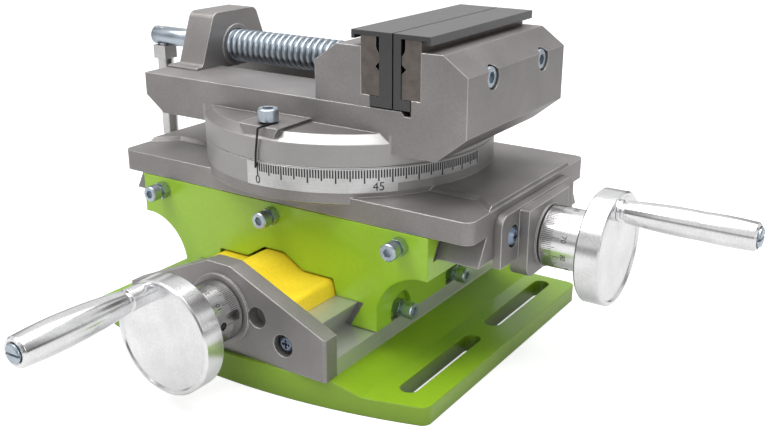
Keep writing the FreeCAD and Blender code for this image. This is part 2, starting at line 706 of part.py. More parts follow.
# Turns a piece's own Z to +X, its X to +Y and its Y to +Z.
UPPER_TURN = Rotation(V(0, 1, 0), V(0, 0, 1), V(1, 0, 0), "ZXY")


def make_saddle_casting():
    """The saddle: a deep casting with a dovetail channel above and one below, crossed at right angles."""
    body = new_body("saddle_casting", y=s.saddle_shift)
    half = s.saddle_width / 2
    waist = s.saddle_waist / 2
    curve_end = s.saddle_flange_bottom - s.saddle_curve
    lip = half - s.saddle_lip
    under = s.saddle_flange_bottom
    shape = [(half, s.saddle_top), (half, under), (lip, under, s.saddle_arc), (waist, curve_end),
             (waist, saddle_foot), (-waist, saddle_foot), (-waist, curve_end, s.saddle_arc), (-lip, under),
             (-half, under), (-half, s.saddle_top)]
    add(body, "y", -saddle_half, saddle_half, closed(shape))
    arch = cover_outline(s.arch_gap)
    roof = [(arch[0][0], channel_roof)] + arch[1:]
    right_wall = [(lower_flank(z) + gib_run, z) for z in (saddle_foot, channel_roof)]
    left_wall = [(lower_flank(z) + side_run, z) for z in (saddle_foot, channel_roof)]
    cut(body, "y", -saddle_half, saddle_half,
        closed(right_wall + roof + [(-x, z) for x, z in reversed(left_wall + roof)]))
    front_wall = [(-upper_flank(z) - gib_run, z) for z in (s.saddle_top, saddle_floor)]
    back_wall = [(upper_flank(z) + side_run, z) for z in (saddle_floor, s.saddle_top)]
    cut(body, "x", -half, half, closed(front_wall + back_wall))
    groove = s.thrust_collar_radius + 1
    groove_low = s.upper_axis_height - s.thrust_collar_radius - 0.5
    cut(body, "x", -half, half, closed([(-groove, saddle_floor), (-groove, groove_low), (groove, groove_low),
                                        (groove, saddle_floor)]))
    for place in (-1, 0, 1):
        cut(body, "y", -saddle_half, -saddle_half + s.gib_hole_depth, circle_outline(
            place * s.front_screw_pitch, s.front_screw_height, M5["shank"] + s.fit))
    seat = waist - s.side_pocket_depth
    for place in (-s.side_screw_front, s.side_screw_back):
        cut(body, "x", seat, half, circle_outline(place, s.side_screw_rise, s.side_pocket_radius))
        cut(body, "x", lower_flank(s.strip_height), seat,
            circle_outline(place, s.side_screw_rise, M5["shank"] + s.fit))
    for place in (-1, 1):
        cut_nut_screw_holes(body, place)
    return body


def cut_nut_screw_holes(body, side):
    """Clearance holes and head seats for the screws that hold the two lead nuts."""
    lower = side * s.lower_nut_screws / 2
    upper = side * s.upper_nut_screws / 2
    cut(body, "z", arch_top, saddle_floor, circle_outline(0, lower, M5["shank"] + s.fit))
    cut(body, "z", saddle_floor - s.nut_head_depth, saddle_floor, circle_outline(0, lower, s.small_head_seat))
    cut(body, "z", wing_top, saddle_floor, circle_outline(s.upper_nut_place, upper, M5["shank"] + s.fit))
    cut(body, "z", wing_top, wing_top + s.nut_head_depth,
        circle_outline(s.upper_nut_place, upper, s.small_head_seat))


def make_lower_gib():
    """The thin strip that takes up the play of the lower dovetail, on its right flank."""
    body = new_body("lower_gib_strip", y=s.saddle_shift)
    inner = [(lower_flank(z) + side_run, z) for z in (saddle_foot, rail_top)]
    outer = [(x + gib_width, z) for x, z in reversed(inner)]
    add(body, "y", -saddle_half + s.gib_inset, saddle_half - s.gib_inset, closed(inner + outer))
    return body


def make_upper_gib():
    """The strip that takes up the play of the upper dovetail, on its front flank."""
    body = new_body("upper_gib_strip", y=s.saddle_shift)
    inner = [(-upper_flank(z) - side_run, z) for z in (upper_rail_low, s.saddle_top)]
    outer = [(y - gib_width, z) for y, z in reversed(inner)]
    end = s.saddle_width / 2 - s.gib_inset
    add(body, "x", -end, end, closed(inner + outer))
    return body


def make_upper_gib_screws():
    """Three cap screws through the front wall of the saddle, each with a lock nut."""
    wall = upper_flank(s.front_screw_height) + gib_run
    place = {"x": -s.front_screw_pitch, "y": s.saddle_shift - saddle_half, "z": s.front_screw_height,
             "turn": TO_FRONT}
    reach = saddle_half - wall - point_gap
    screws = cap_screw("upper_gib_screws", M5["shank"], reach + s.gib_screw_proud, M5["head"], M5["height"],
                       M5["socket"], DOG_POINT,
                       **{**place, "y": s.saddle_shift - saddle_half - s.gib_screw_proud})
    row_of(screws, "X", s.front_screw_pitch * 2, 3)
    nuts = hex_nut("upper_gib_nuts", M5["nut"], M5["nut_height"], M5["shank"], **place)
    row_of(nuts, "X", s.front_screw_pitch * 2, 3)


def make_lower_gib_screws():
    """Cap screws through the right wall of the saddle, each with a lock nut."""
    wall = lower_flank(s.side_screw_rise) + gib_run
    seat = s.saddle_waist / 2 - s.side_pocket_depth
    place = {"x": seat, "y": s.saddle_shift - s.side_screw_front, "z": s.side_screw_rise, "turn": UPPER_TURN}
    span = s.side_screw_front + s.side_screw_back
    reach = seat - wall - point_gap
    screws = cap_screw("lower_gib_screws", M5["shank"], reach + s.gib_screw_proud, M5["head"], M5["height"],
                       M5["socket"], DOG_POINT, **{**place, "x": seat + s.gib_screw_proud})
    row_of(screws, "X", span, 2)
    nuts = hex_nut("lower_gib_nuts", M5["nut"], M5["nut_height"], M5["shank"], **place)
    row_of(nuts, "X", span, 2)


def make_lower_nut():
    """The bronze nut under the saddle's arch, on the lower lead screw; its top fits the arch."""
    body = new_body("lower_lead_nut", y=s.saddle_shift)
    wide = s.lower_nut_width / 2
    end = s.lower_nut_length / 2
    shoulder = arch_top - 5
    add(body, "y", -end, end, mirrored_outline([(wide, s.lower_nut_low), (wide, shoulder), (arch_half - 0.2, arch_top)]))
    cut(body, "y", -end, end, circle_outline(0, s.lower_axis_height, s.lead_screw_radius + s.thread_clearance))
    for side in (-1, 1):
        cut(body, "z", arch_top - 9, arch_top, circle_outline(0, side * s.lower_nut_screws / 2, M5["shank"]))
    return body


def make_upper_nut():
    """The bronze nut on the saddle's floor, on the upper lead screw."""
    body = new_body("upper_lead_nut", x=s.upper_nut_place, y=s.saddle_shift)
    wide = s.upper_nut_width / 2
    end = s.upper_nut_length / 2
    add(body, "x", -end, end, rectangle(-wide, wide, saddle_floor, s.upper_nut_top))
    cut(body, "x", -end, end, circle_outline(0, s.upper_axis_height, s.lead_screw_radius + s.thread_clearance))
    for side in (-1, 1):
        cut(body, "z", saddle_floor, saddle_floor + 8, circle_outline(0, side * s.upper_nut_screws / 2, M5["shank"]))
    return body


def make_nut_screws():
    """The screws that hold the two lead nuts to the saddle."""
    seat = saddle_floor - s.nut_head_depth
    lower = cap_screw("lower_nut_screws", M5["shank"], seat - arch_top + 8, M5["head"], M5["height"],
                      M5["socket"], y=s.saddle_shift - s.lower_nut_screws / 2, z=seat)
    row_of(lower, "Y", s.lower_nut_screws, 2)
    seat = wing_top + s.nut_head_depth
    upper = cap_screw("upper_nut_screws", M5["shank"], saddle_floor - seat + 7, M5["head"], M5["height"],
                      M5["socket"], x=s.upper_nut_place, y=s.saddle_shift + s.upper_nut_screws / 2, z=seat,
                      turn=DOWN)
    row_of(upper, "Y", s.upper_nut_screws, 2)


def make_slide_table():
    """The upper slide: plate, raised plateau, round boss with its T-slot ring, and dovetail rail below."""
    body = new_body("slide_table", x=s.table_shift, y=s.saddle_shift)
    half = table_half
    deep = saddle_half
    add(body, "z", table_under, strip_top, closed([(-half, -deep), (half, -deep), (half, deep), (-half, deep)]))
    soften(body, "Fillet", s.table_corner, lambda middle, ends: upright(ends))
    wide = s.plateau_width / 2
    flare = s.plateau_end_width / 2
    inner = half - s.plateau_end_run
    edge = half - 1
    plateau = [(-edge, -flare), (-inner, -wide), (inner, -wide), (edge, -flare), (edge, flare), (inner, wide),
               (-inner, wide), (-edge, flare)]
    add(body, "z", strip_top, strip_top + s.plateau_rise, closed(plateau))
    soften(body, "Chamfer", s.plateau_rise * 0.95,
           lambda middle, ends: near(middle.z, strip_top + s.plateau_rise) and abs(middle.y) > wide.value - 0.1
           and abs(middle.x) < edge.value - 0.1)
    boss = [(0, table_under + 3), (s.boss_foot_radius, table_under + 3), (s.boss_radius, strip_top - 3),
            (s.boss_radius, boss_top), (0, boss_top)]
    spin(body, closed(boss))
    rail = [(upper_flank(z), z) for z in (upper_rail_low, table_under)]
    add(body, "x", -half, half, mirrored_outline(rail))
    channel = s.upper_channel_width / 2
    roof = upper_rail_low + s.upper_channel_depth
    cut(body, "x", -half, half, closed([(-channel, upper_rail_low), (channel, upper_rail_low), (channel, roof),
                                        (-channel, roof)]))
    circle = s.t_slot_circle
    neck = s.t_slot_neck / 2
    broad = s.t_slot_width / 2
    step = boss_top - s.t_slot_neck_depth
    low = step - s.t_slot_height
    slot = [(circle - neck, boss_top), (circle - neck, step), (circle - broad, step), (circle - broad, low),
            (circle + broad, low), (circle + broad, step), (circle + neck, step), (circle + neck, boss_top)]
    spin(body, closed(slot), kind="Groove")
    cut(body, "z", s.pivot_rise, boss_top, circle_outline(0, 0, s.pivot_radius))
    for side in (-1, 1):
        cut(body, "x", half - 14, half, circle_outline(side * s.bracket_screw_spread / 2, s.bracket_screw_rise,
                                                       M5["shank"] + s.fit))
    return body


def make_degree_scale():
    """The silvery strip round the boss, tall in front and narrow above the plateau."""
    top = boss_top - s.scale_drop
    inner = s.boss_radius + s.scale_glue
    outer = inner + s.scale_thickness
    body = new_body("degree_scale", x=s.table_shift, y=s.saddle_shift, turn=Rotation(V(0, 0, 1), -90))
    wide = top - s.scale_width
    narrow = top - s.scale_narrow
    full = [(inner, narrow), (outer, narrow), (outer, top), (inner, top)]
    turn = spin(body, closed(full), angle=s.scale_full_angle.value)
    bind(turn, "Angle", s.scale_full_angle)
    tall = [(inner, wide), (outer, wide), (outer, top), (inner, top)]
    turn = spin(body, closed(tall), angle=s.scale_wide_angle.value)
    bind(turn, "Angle", s.scale_wide_angle)
    turn = spin(body, closed(tall), angle=s.scale_lead.value)
    bind(turn, "Angle", s.scale_lead)
    turn.Reversed = True
    doc.recompute()
    return body


def make_end_bracket():
    """The bracket on the table's right end, with the ring that the upper collar runs against."""
    body = new_body("end_bracket", x=s.table_shift, y=s.saddle_shift)
    half = s.bracket_width / 2
    face = table_half + s.bracket_plate
    plate = [(-half, s.bracket_low), (half, s.bracket_low), (half, s.bracket_high), (-half, s.bracket_high)]
    add(body, "x", table_half, face, closed(plate))
    soften(body, "Fillet", s.bracket_corner, lambda middle, ends: near(abs(middle.y), half)
           and near(middle.z, s.bracket_high))
    block = s.bracket_block_width / 2
    shape = [(-block, s.bracket_block_low), (block, s.bracket_block_low), (block, s.bracket_block_high),
             (-block, s.bracket_block_high)]
    add(body, "x", table_half, bracket_face, closed(shape))
    soften(body, "Fillet", s.bracket_corner, lambda middle, ends: near(abs(middle.y), block)
           and near(middle.z, s.bracket_block_low))
    add(body, "x", bracket_face, bracket_face + s.bracket_ring_proud,
        circle_outline(0, s.upper_axis_height, s.bracket_ring_radius))
    cut(body, "x", table_half, bracket_face + s.bracket_ring_proud,
        circle_outline(0, s.upper_axis_height, s.journal_radius + s.fit))
    for side in (-1, 1):
        y = side * s.bracket_screw_spread / 2
        cut(body, "x", table_half, face, circle_outline(y, s.bracket_screw_rise, M5["shank"] + s.fit))
        cut(body, "x", face - 2, face, circle_outline(y, s.bracket_screw_rise, s.counterbore_radius))
    return body


def make_bracket_screws():
    body = cross_screw("bracket_screws", M5["shank"], 13, 4.6, 3.2, x=s.table_shift + table_half + s.bracket_plate - 2,
                       y=s.saddle_shift - s.bracket_screw_spread / 2, z=s.bracket_screw_rise, turn=UPPER_TURN)
    row_of(body, "X", s.bracket_screw_spread, 2)
    return body


def make_swivel_pivot():
    steps = [(s.pivot_radius - 0.6, s.pivot_rise), (s.pivot_radius, s.pivot_rise + 0.6),
             (s.pivot_radius, s.pivot_rise + s.pivot_height - 0.6), (s.pivot_radius - 0.6, s.pivot_rise + s.pivot_height)]
    return turned("swivel_pivot", steps, x=s.table_shift, y=s.saddle_shift)


def make_vise_body():
    """One casting: swivel disc with its clamp lugs, bed with its guide slot, and the fixed jaw."""
    body = new_body("vise_body", x=s.table_shift, y=s.saddle_shift)
    wall = s.fixed_wall
    profile = [(-s.vise_left_low, s.vise_bottom), (s.vise_right_low, s.vise_bottom),
               (s.vise_right, s.vise_bottom + s.right_shoulder_low), (s.vise_right, s.right_shoulder_top),
               (s.jaw_top_edge, s.jaw_top), (s.fixed_seat, s.jaw_top), (s.fixed_seat, s.plate_ledge),
               (wall, s.plate_ledge), (wall, s.bed_height - s.notch_depth),
               (wall - s.notch_width + 1.5, s.bed_height - s.notch_depth), (wall - s.notch_width, s.bed_height),
               (-s.vise_left, s.bed_height), (-s.vise_left, s.vise_bottom + s.vise_left_shoulder)]
    add(body, "y", -vise_half, vise_half, closed(profile))
    disc = [(0, disc_low), (s.boss_radius, disc_low), (s.boss_radius, disc_top - s.disc_chamfer),
            (s.boss_radius - s.disc_chamfer, disc_top), (0, disc_top)]
    spin(body, closed(disc))
    lug = s.lug_width / 2
    low = s.lug_low_width / 2
    rim = s.boss_radius - 1
    inner = vise_half - 2
    seat = disc_top + s.lug_rise
    for front, back, top in ((-rim, -inner, seat), (inner, rim, seat + s.pointer_wire)):
        add(body, "y", front, back, closed([(-low, disc_low + 3), (low, disc_low + 3), (lug, top), (-lug, top)]))
    for side in (-1, 1):
        cut(body, "z", disc_low, seat + s.pointer_wire,
            circle_outline(0, side * s.t_slot_circle, s.clamp_hole_radius))
    slot = s.bed_slot_width / 2
    keeper = s.keeper_channel_width / 2
    tee = [(-slot, s.bed_height), (-slot, s.keeper_channel_top), (-keeper, s.keeper_channel_top),
           (-keeper, s.bed_slot_floor), (keeper, s.bed_slot_floor), (keeper, s.keeper_channel_top),
           (slot, s.keeper_channel_top), (slot, s.bed_height)]
    cut(body, "x", -s.vise_left, s.bed_slot_end, closed(tee))
    cut(body, "z", disc_low, s.bed_slot_floor, circle_outline(0, 0, s.pivot_radius + s.fit))
    for side in (-1, 1):
        y = side * s.jaw_screw_spread / 2
        cut(body, "x", s.fixed_seat, s.vise_right, circle_outline(y, s.jaw_screw_height, M6["shank"] + s.fit))
        cut(body, "x", s.vise_right - 7, s.vise_right, circle_outline(y, s.jaw_screw_height, M6["head"] + 0.6))
        cut(body, "z", s.bed_height - 9, s.bed_height,
            circle_outline(-(s.nut_right + s.nut_tower_left) / 2, side * s.nut_bolt_spread / 2, M6["shank"] + s.fit))
    return body


def make_swivel_clamps():
    """The two screws that clamp the swivel, and their round T-nuts in the boss's ring slot."""
    seat = disc_top + s.lug_rise + s.pointer_wire
    step = boss_top - s.t_slot_neck_depth
    place = {"x": s.table_shift, "y": s.saddle_shift - s.t_slot_circle}
    screws = cap_screw("swivel_clamp_screws", M6["shank"], seat - step + 3, M6["head"], M6["height"], M6["socket"],
                       z=seat, **place)
    row_of(screws, "Y", s.t_slot_circle * 2, 2)
    radius = s.t_slot_width / 2 - 0.35
    low = step - s.t_slot_height + 0.4
    nuts = turned("swivel_clamp_nuts", [(radius, low), (radius, step - 0.3)], bore=M6["shank"], **place)
    row_of(nuts, "Y", s.t_slot_circle * 2, 2)


def make_angle_pointer():
    """A bent wire with an eye round the front clamp screw; its end hangs down over the scale."""
    wire = s.pointer_wire.value / 2
    level = disc_top.value + s.lug_rise.value + wire
    eye = s.clamp_hole_radius.value + wire
    centre = -s.t_slot_circle.value
    outer = -(s.boss_radius + s.scale_thickness).value - wire - s.run_gap.value
    points = [V(eye, centre, level), V(eye, outer + wire, level), V(eye * 0.6, outer - wire, level - 2 * wire),
              V(0, outer, disc_low.value + 4), V(-0.5, outer, boss_top.value - 3)]
    shapes = [Part.makeTorus(eye, wire, V(0, centre, level), V(0, 0, 1))]
    for first, last in zip(points, points[1:]):
        shapes.append(Part.makeCylinder(wire, (last - first).Length, first, last - first))
        shapes.append(Part.makeSphere(wire, last))
    body = doc.addObject("Part::Feature", "angle_pointer")
    body.Label = "angle_pointer"
    body.Shape = shapes[0].multiFuse(shapes[1:]).removeSplitter()
    body.Placement = FreeCAD.Placement(V(s.table_shift.value, s.saddle_shift.value, 0), Rotation())
    NODES.append(body)
    return body


def make_screw_bracket():
    """The tapered tower bolted on the bed's left end, tapped for the vise screw."""
    body = new_body("screw_bracket", x=s.table_shift, y=s.saddle_shift)
    foot = s.nut_foot_width / 2
    foot_top = s.bed_height + s.nut_foot_thickness
    add(body, "x", -s.vise_left, -s.nut_right,
        closed([(-foot, s.bed_height), (foot, s.bed_height), (foot, foot_top), (-foot, foot_top)]))
    base = s.nut_tower_width / 2
    top = s.nut_top_width / 2
    add(body, "x", -s.nut_tower_left, -s.nut_right,
        closed([(-base, foot_top), (base, foot_top), (top, s.nut_top), (-top, s.nut_top)]))
    soften(body, "Fillet", s.nut_corner, lambda middle, ends: near(abs(middle.y), top)
           and near(middle.z, s.nut_top))
    add(body, "x", -s.nut_right, -s.nut_right + 0.6, circle_outline(0, s.vise_axis_height, s.nut_ring_radius - 3))
    cut(body, "x", -s.vise_left, -s.nut_right + 0.6,
        circle_outline(0, s.vise_axis_height, s.vise_screw_radius + s.thread_clearance))
    for side in (-1, 1):
        x = -(s.nut_right + s.nut_tower_left) / 2
        cut(body, "z", s.bed_height, s.bed_height + 30, circle_outline(x, side * s.nut_bolt_spread / 2, M6["shank"] + s.fit))
    return body


def make_bracket_bolts():
    """Bolts from under the head seats down through the bracket's foot into the bed."""
    body = new_body("bracket_bolts", x=s.table_shift - (s.nut_right + s.nut_tower_left) / 2,
                    y=s.saddle_shift - s.nut_bolt_spread / 2)
    add(body, "z", s.bed_height - 8.5, s.bed_height + 12, circle_outline(0, 0, M6["shank"]))
    row_of(body, "Y", s.nut_bolt_spread, 2)
    return body


def jaw_plate_points(face, back):
    """A jaw plate's section: step and vee on the gripping face; face and back are places along X."""
    low = s.plate_ledge
    high = low + s.jaw_plate_height
    sense = 1 if face.value > back.value else -1
    step = face - sense * s.jaw_plate_step
    vee = face - sense * s.vee_depth
    middle = low + s.vee_rise
    arc = sense * -1 * 4.5
    return [(back, low), (face, low), (face, middle - s.vee_half), (vee, middle), (face, middle + s.vee_half),
            (face, high - s.jaw_plate_step_height, arc), (step, high - s.jaw_plate_step_height + 4),
            (step, high), (back, high)]


def make_jaw_plate(name, face, back):
    body = new_body(name, x=s.table_shift, y=s.saddle_shift)
    add(body, "y", -vise_half, vise_half, closed(jaw_plate_points(face, back)))
    side = -1 if face.value > back.value else 1
    deep = s.jaw_plate_thickness * 0.6
    low, high = (back, back + deep) if side < 0 else (back - deep, back)
    for place in (-1, 1):
        cut(body, "x", low, high, circle_outline(place * s.jaw_screw_spread / 2, s.jaw_screw_height, M6["shank"]))
    return body


PLATE_TOP = s.plate_ledge + s.jaw_plate_height
moving_face = s.jaw_seat + s.jaw_plate_thickness
fixed_face = s.fixed_seat - s.jaw_plate_thickness
gap_middle = (moving_face + fixed_face) / 2 + 1.5


def make_jaw_cover(name, seat, face, split, foot_end):
    """A soft cap hooked over one jaw plate: lip, top, leg in front of the plate, and foot under it."""
    body = new_body(name, x=s.table_shift, y=s.saddle_shift)
    sense = 1 if face.value > seat.value else -1
    cap_low = PLATE_TOP + 0.15
    cap_top = cap_low + s.cover_cap
    lip_out = seat - sense * (s.cover_lip + 3.2)
    lip_in = seat - sense * 3.2
    leg = face + sense * 0.15
    foot_top = s.plate_ledge - 0.15
    points = [(lip_out, s.cover_lip_low), (lip_out, cap_top), (split, cap_top), (split, s.cover_foot_low),
              (foot_end, s.cover_foot_low), (foot_end, foot_top), (leg, foot_top), (leg, cap_low),
              (lip_in, cap_low), (lip_in, s.cover_lip_low)]
    wide = vise_half + s.cover_overhang
    add(body, "y", -wide, wide, closed(points))
    return body


def make_movable_jaw():
    """The sliding jaw: bored for the screw's end, with a tongue that runs in the bed's slot."""
    body = new_body("movable_jaw", x=s.table_shift, y=s.saddle_shift)
    low = s.bed_height + s.jaw_gap
    shape = [(s.jaw_left, low), (s.jaw_front, low), (s.jaw_front, s.plate_ledge), (s.jaw_seat, s.plate_ledge),
             (s.jaw_seat, s.jaw_top), (s.jaw_top_left, s.jaw_top), (s.jaw_left, s.jaw_shoulder)]
    add(body, "y", -vise_half, vise_half, closed(shape))
    tongue = s.bed_slot_width / 2 - s.guide_clearance
    add(body, "z", s.keeper_channel_top, low, closed([(s.jaw_left + 2, -tongue), (s.jaw_front - 2, -tongue),
                                                      (s.jaw_front - 2, tongue), (s.jaw_left + 2, tongue)]))
    cut(body, "x", s.jaw_left, s.jaw_left + s.vise_journal_length + 1,
        circle_outline(0, s.vise_axis_height, s.vise_journal_radius + s.fit))
    for side in (-1, 1):
        y = side * s.jaw_screw_spread / 2
        cut(body, "x", s.jaw_left, s.jaw_seat, circle_outline(y, s.jaw_screw_height, M6["shank"] + s.fit))
        cut(body, "x", s.jaw_left, s.jaw_left + 8, circle_outline(y, s.jaw_screw_height, M6["head"] + 0.6))
    middle = (s.jaw_left + s.jaw_front) / 2
    for side in (-1, 1):
        cut(body, "z", s.keeper_channel_top, s.keeper_channel_top + 9,
            circle_outline(middle + side * 9, 0, M5["shank"]))
    groove = s.jaw_left + s.vise_journal_length / 2 + 2
    cut(body, "z", s.vise_axis_height, s.jaw_top, circle_outline(groove, 0, s.retainer_radius))
    return body


def make_jaw_keeper():
    """The plate under the bed's edges that keeps the jaw down."""
    body = new_body("jaw_keeper", x=s.table_shift, y=s.saddle_shift)
    wide = s.keeper_width / 2
    top = s.keeper_channel_top - 0.1
    low = top - s.keeper_thickness
    left = s.jaw_left + s.keeper_margin
    right = s.jaw_front - s.keeper_margin
    add(body, "z", low, top, closed([(left, -wide), (right, -wide), (right, wide), (left, wide)]))
    middle = (s.jaw_left + s.jaw_front) / 2
    for side in (-1, 1):
        cut(body, "z", low, top, circle_outline(middle + side * 9, 0, M5["shank"] + s.fit))
        cut(body, "z", low, low + 5.3, circle_outline(middle + side * 9, 0, 4.7))
    return body


def make_keeper_screws():
    low = s.keeper_channel_top - 0.1 - s.keeper_thickness
    middle = (s.jaw_left + s.jaw_front) / 2
    body = cap_screw("keeper_screws", M5["shank"], 8, M5["head"], M5["height"], M5["socket"],
                     x=s.table_shift + middle - 9, y=s.saddle_shift, z=low + 5.3, turn=DOWN)
    row_of(body, "X", size_of(18), 2)
    return body


def make_jaw_screws():
    """The screws through each jaw into its plate."""
    fixed = cap_screw("fixed_jaw_screws", M6["shank"], s.vise_right - 7 - s.fixed_seat + 5, M6["head"], M6["height"],
                      M6["socket"], x=s.table_shift + s.vise_right - 7, y=s.saddle_shift - s.jaw_screw_spread / 2,
                      z=s.jaw_screw_height, turn=UPPER_TURN)
    row_of(fixed, "X", s.jaw_screw_spread, 2)
    left_turn = Rotation(V(0, -1, 0), V(0, 0, 1), V(-1, 0, 0), "ZXY")
    moving = cap_screw("movable_jaw_screws", M6["shank"], s.jaw_seat - s.jaw_left - 8 + 5, M6["head"], M6["height"],
                       M6["socket"], x=s.table_shift + s.jaw_left + 8, y=s.saddle_shift + s.jaw_screw_spread / 2,
                       z=s.jaw_screw_height, turn=left_turn)
    row_of(moving, "X", s.jaw_screw_spread, 2)


def make_screw_retainer():
    """A grub screw down into the groove of the vise screw's end, which pulls the jaw back."""
    groove = s.jaw_left + s.vise_journal_length / 2 + 2
    low = s.vise_axis_height + s.vise_journal_radius - 1.6
    body = turned("screw_retainer", [(s.retainer_radius, low), (s.retainer_radius, s.jaw_top - 1)],
                  x=s.table_shift + groove, y=s.saddle_shift)
    cut(body, "z", s.jaw_top - 3.5, s.jaw_top - 1, lambda sketch: hexagon(sketch, 0, 0, size_of(2.5)))
    return body


def make_vise_screw():
    """The vise screw along its own Z axis, which points at the fixed jaw; height 0 is the table's middle."""
    body = new_body("vise_screw", x=s.table_shift, y=s.saddle_shift, z=s.vise_axis_height, turn=ALONG_X)
    end = s.jaw_left - s.run_gap
    left = -s.vise_left - 2
    tip = left - s.vise_end_length
    groove = s.jaw_left + s.vise_journal_length / 2 + 2
    deep = s.vise_journal_radius - 2
    wide = s.retainer_radius + 0.3
    steps = [(0, tip), (s.vise_end_radius - 0.8, tip), (s.vise_end_radius, tip + 0.8), (s.vise_end_radius, left),
             (s.vise_screw_radius, left), (s.vise_screw_radius, end), (s.vise_journal_radius, end),
             (s.vise_journal_radius, groove - wide), (deep, groove - wide), (deep, groove + wide),
             (s.vise_journal_radius, groove + wide), (s.vise_journal_radius, s.jaw_left + s.vise_journal_length),
             (0, s.jaw_left + s.vise_journal_length)]
    spin(body, closed(steps))
    place = left - s.handle_place
    cut(body, "x", -s.vise_end_radius, s.vise_end_radius, circle_outline(0, place, s.tenon_radius))
    cut(body, "z", tip, place - s.tenon_radius, circle_outline(0, 0, s.set_screw_radius))
    return body


def make_handle_bar():
    """The handle: a tenon through the screw's end, a square shoulder and a long round bar hanging down."""
    left = -s.vise_left - 2
    body = new_body("handle_bar", x=s.table_shift + left - s.handle_place, y=s.saddle_shift)
    high = s.vise_axis_height + s.vise_end_radius
    shoulder = s.vise_axis_height - s.vise_end_radius
    half = s.handle_block / 2
    add(body, "z", shoulder, high - 0.5, circle_outline(0, 0, s.tenon_radius))
    add(body, "z", s.handle_block_low, shoulder - 0.05, closed([(-half, -half), (half, -half), (half, half),
                                                               (-half, half)]))
    add(body, "z", shoulder - 0.05, shoulder, circle_outline(0, 0, s.tenon_radius))
    add(body, "z", s.handle_low, s.handle_block_low, circle_outline(0, 0, s.handle_radius))
    soften(body, "Chamfer", 1, lambda middle, ends: near(middle.z, s.handle_low))
    return body


def make_handle_grub_screw():
    """The grub screw in the end of the vise screw that locks the handle's tenon."""
    left = -s.vise_left - 2
    tip = left - s.vise_end_length
    place = left - s.handle_place - s.tenon_radius
    body = turned("handle_grub_screw", [(s.set_screw_radius, tip + 0.6), (s.set_screw_radius, place)],
                  x=s.table_shift, y=s.saddle_shift, z=s.vise_axis_height, turn=ALONG_X)
    cut(body, "z", tip + 0.6, tip + 2.6, lambda sketch: hexagon(sketch, 0, 0, size_of(2)))
    return body


def check_document():
    """Stops before anything is written if an object failed or a piece is not sound."""
    failed = [item.Name for item in doc.Objects if {"Invalid", "Error"} & set(item.State)]
    if failed:
        raise RuntimeError("failed objects: " + ", ".join(failed))
    for body in NODES:
        if body.Shape.isNull() or not body.Shape.isValid() or not body.Shape.Solids:
            raise RuntimeError(f"{body.Label} is not a sound solid")


def main():
    make_base_casting()
    make_end_plate()
    make_end_plate_screws()
    make_screw_cover("front_screw_cover", -plate_back, -plate_back + s.cover_front_length)
    make_screw_cover("rear_screw_cover", half_length - s.cover_rear_length, half_length)
    make_lower_crank()
    make_saddle_casting()
    make_lower_gib()
    make_upper_gib()
    make_upper_gib_screws()
    make_lower_gib_screws()
    make_lower_nut()
    make_upper_nut()
    make_nut_screws()
    make_slide_table()
    make_degree_scale()
    make_end_bracket()
    make_bracket_screws()
    make_upper_crank()
    make_swivel_pivot()
    make_vise_body()
    make_swivel_clamps()
    make_angle_pointer()
    make_screw_bracket()
    make_bracket_bolts()
    make_jaw_plate("fixed_jaw_plate", fixed_face, s.fixed_seat)
    make_jaw_plate("movable_jaw_plate", moving_face, s.jaw_seat)
    make_jaw_cover("movable_jaw_cover", s.jaw_seat, moving_face, gap_middle - s.cover_split / 2,
                   s.jaw_front + 0.2)
    make_jaw_cover("fixed_jaw_cover", s.fixed_seat, fixed_face, gap_middle + s.cover_split / 2,
                   s.fixed_wall - 0.2)
    make_movable_jaw()
    make_jaw_keeper()
    make_keeper_screws()
    make_jaw_screws()
    make_screw_retainer()
    make_vise_screw()
    make_handle_bar()
    make_handle_grub_screw()
    doc.recompute()
    check_document()
    for body in NODES:
        body.Shape.exportStep(f"parts/{body.Label}.step")
        print(f"{body.Label:26s} solids {len(body.Shape.Solids)}  volume {body.Shape.Volume:10.1f}")
    print(len(NODES), "nodes")


main()
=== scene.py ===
"""Cross slide vise: finishes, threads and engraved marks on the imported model, with a plain studio round it."""
import json
import math

import bmesh
import bpy
from mathutils import Matrix, Vector


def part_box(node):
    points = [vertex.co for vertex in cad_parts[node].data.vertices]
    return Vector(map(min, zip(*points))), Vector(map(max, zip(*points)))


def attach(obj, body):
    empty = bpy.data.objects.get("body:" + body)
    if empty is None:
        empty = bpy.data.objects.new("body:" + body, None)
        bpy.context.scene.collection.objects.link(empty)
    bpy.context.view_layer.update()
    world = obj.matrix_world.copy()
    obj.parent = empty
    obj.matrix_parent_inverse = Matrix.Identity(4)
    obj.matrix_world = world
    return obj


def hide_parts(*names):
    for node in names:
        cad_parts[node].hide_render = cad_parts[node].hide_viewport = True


bl_info = {
    "name": "Cross Slide Vise",
    "version": (1, 0, 0),
    "blender": (4, 5, 0),
    "location": "3D View > Sidebar > Vise",
    "description": "Builds the finishes, threads and dial marks of a cross slide vise",
    "category": "Object",
}

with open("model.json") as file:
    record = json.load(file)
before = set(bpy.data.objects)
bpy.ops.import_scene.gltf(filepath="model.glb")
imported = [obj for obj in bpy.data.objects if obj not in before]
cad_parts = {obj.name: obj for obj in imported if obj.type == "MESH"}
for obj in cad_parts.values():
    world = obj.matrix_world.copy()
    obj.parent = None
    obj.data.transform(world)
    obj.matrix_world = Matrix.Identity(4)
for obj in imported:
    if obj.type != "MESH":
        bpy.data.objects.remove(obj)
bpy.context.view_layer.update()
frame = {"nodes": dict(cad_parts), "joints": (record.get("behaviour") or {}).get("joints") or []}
NODES = frame["nodes"]
MM = 0.001


def joint(name):
    """A joint of the model, by its name."""
    return [j for j in frame["joints"] if j["name"] == name][0]


def corners(node):
    """The lowest and highest corner of a node's box at rest."""
    return [Vector(corner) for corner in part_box(node)]


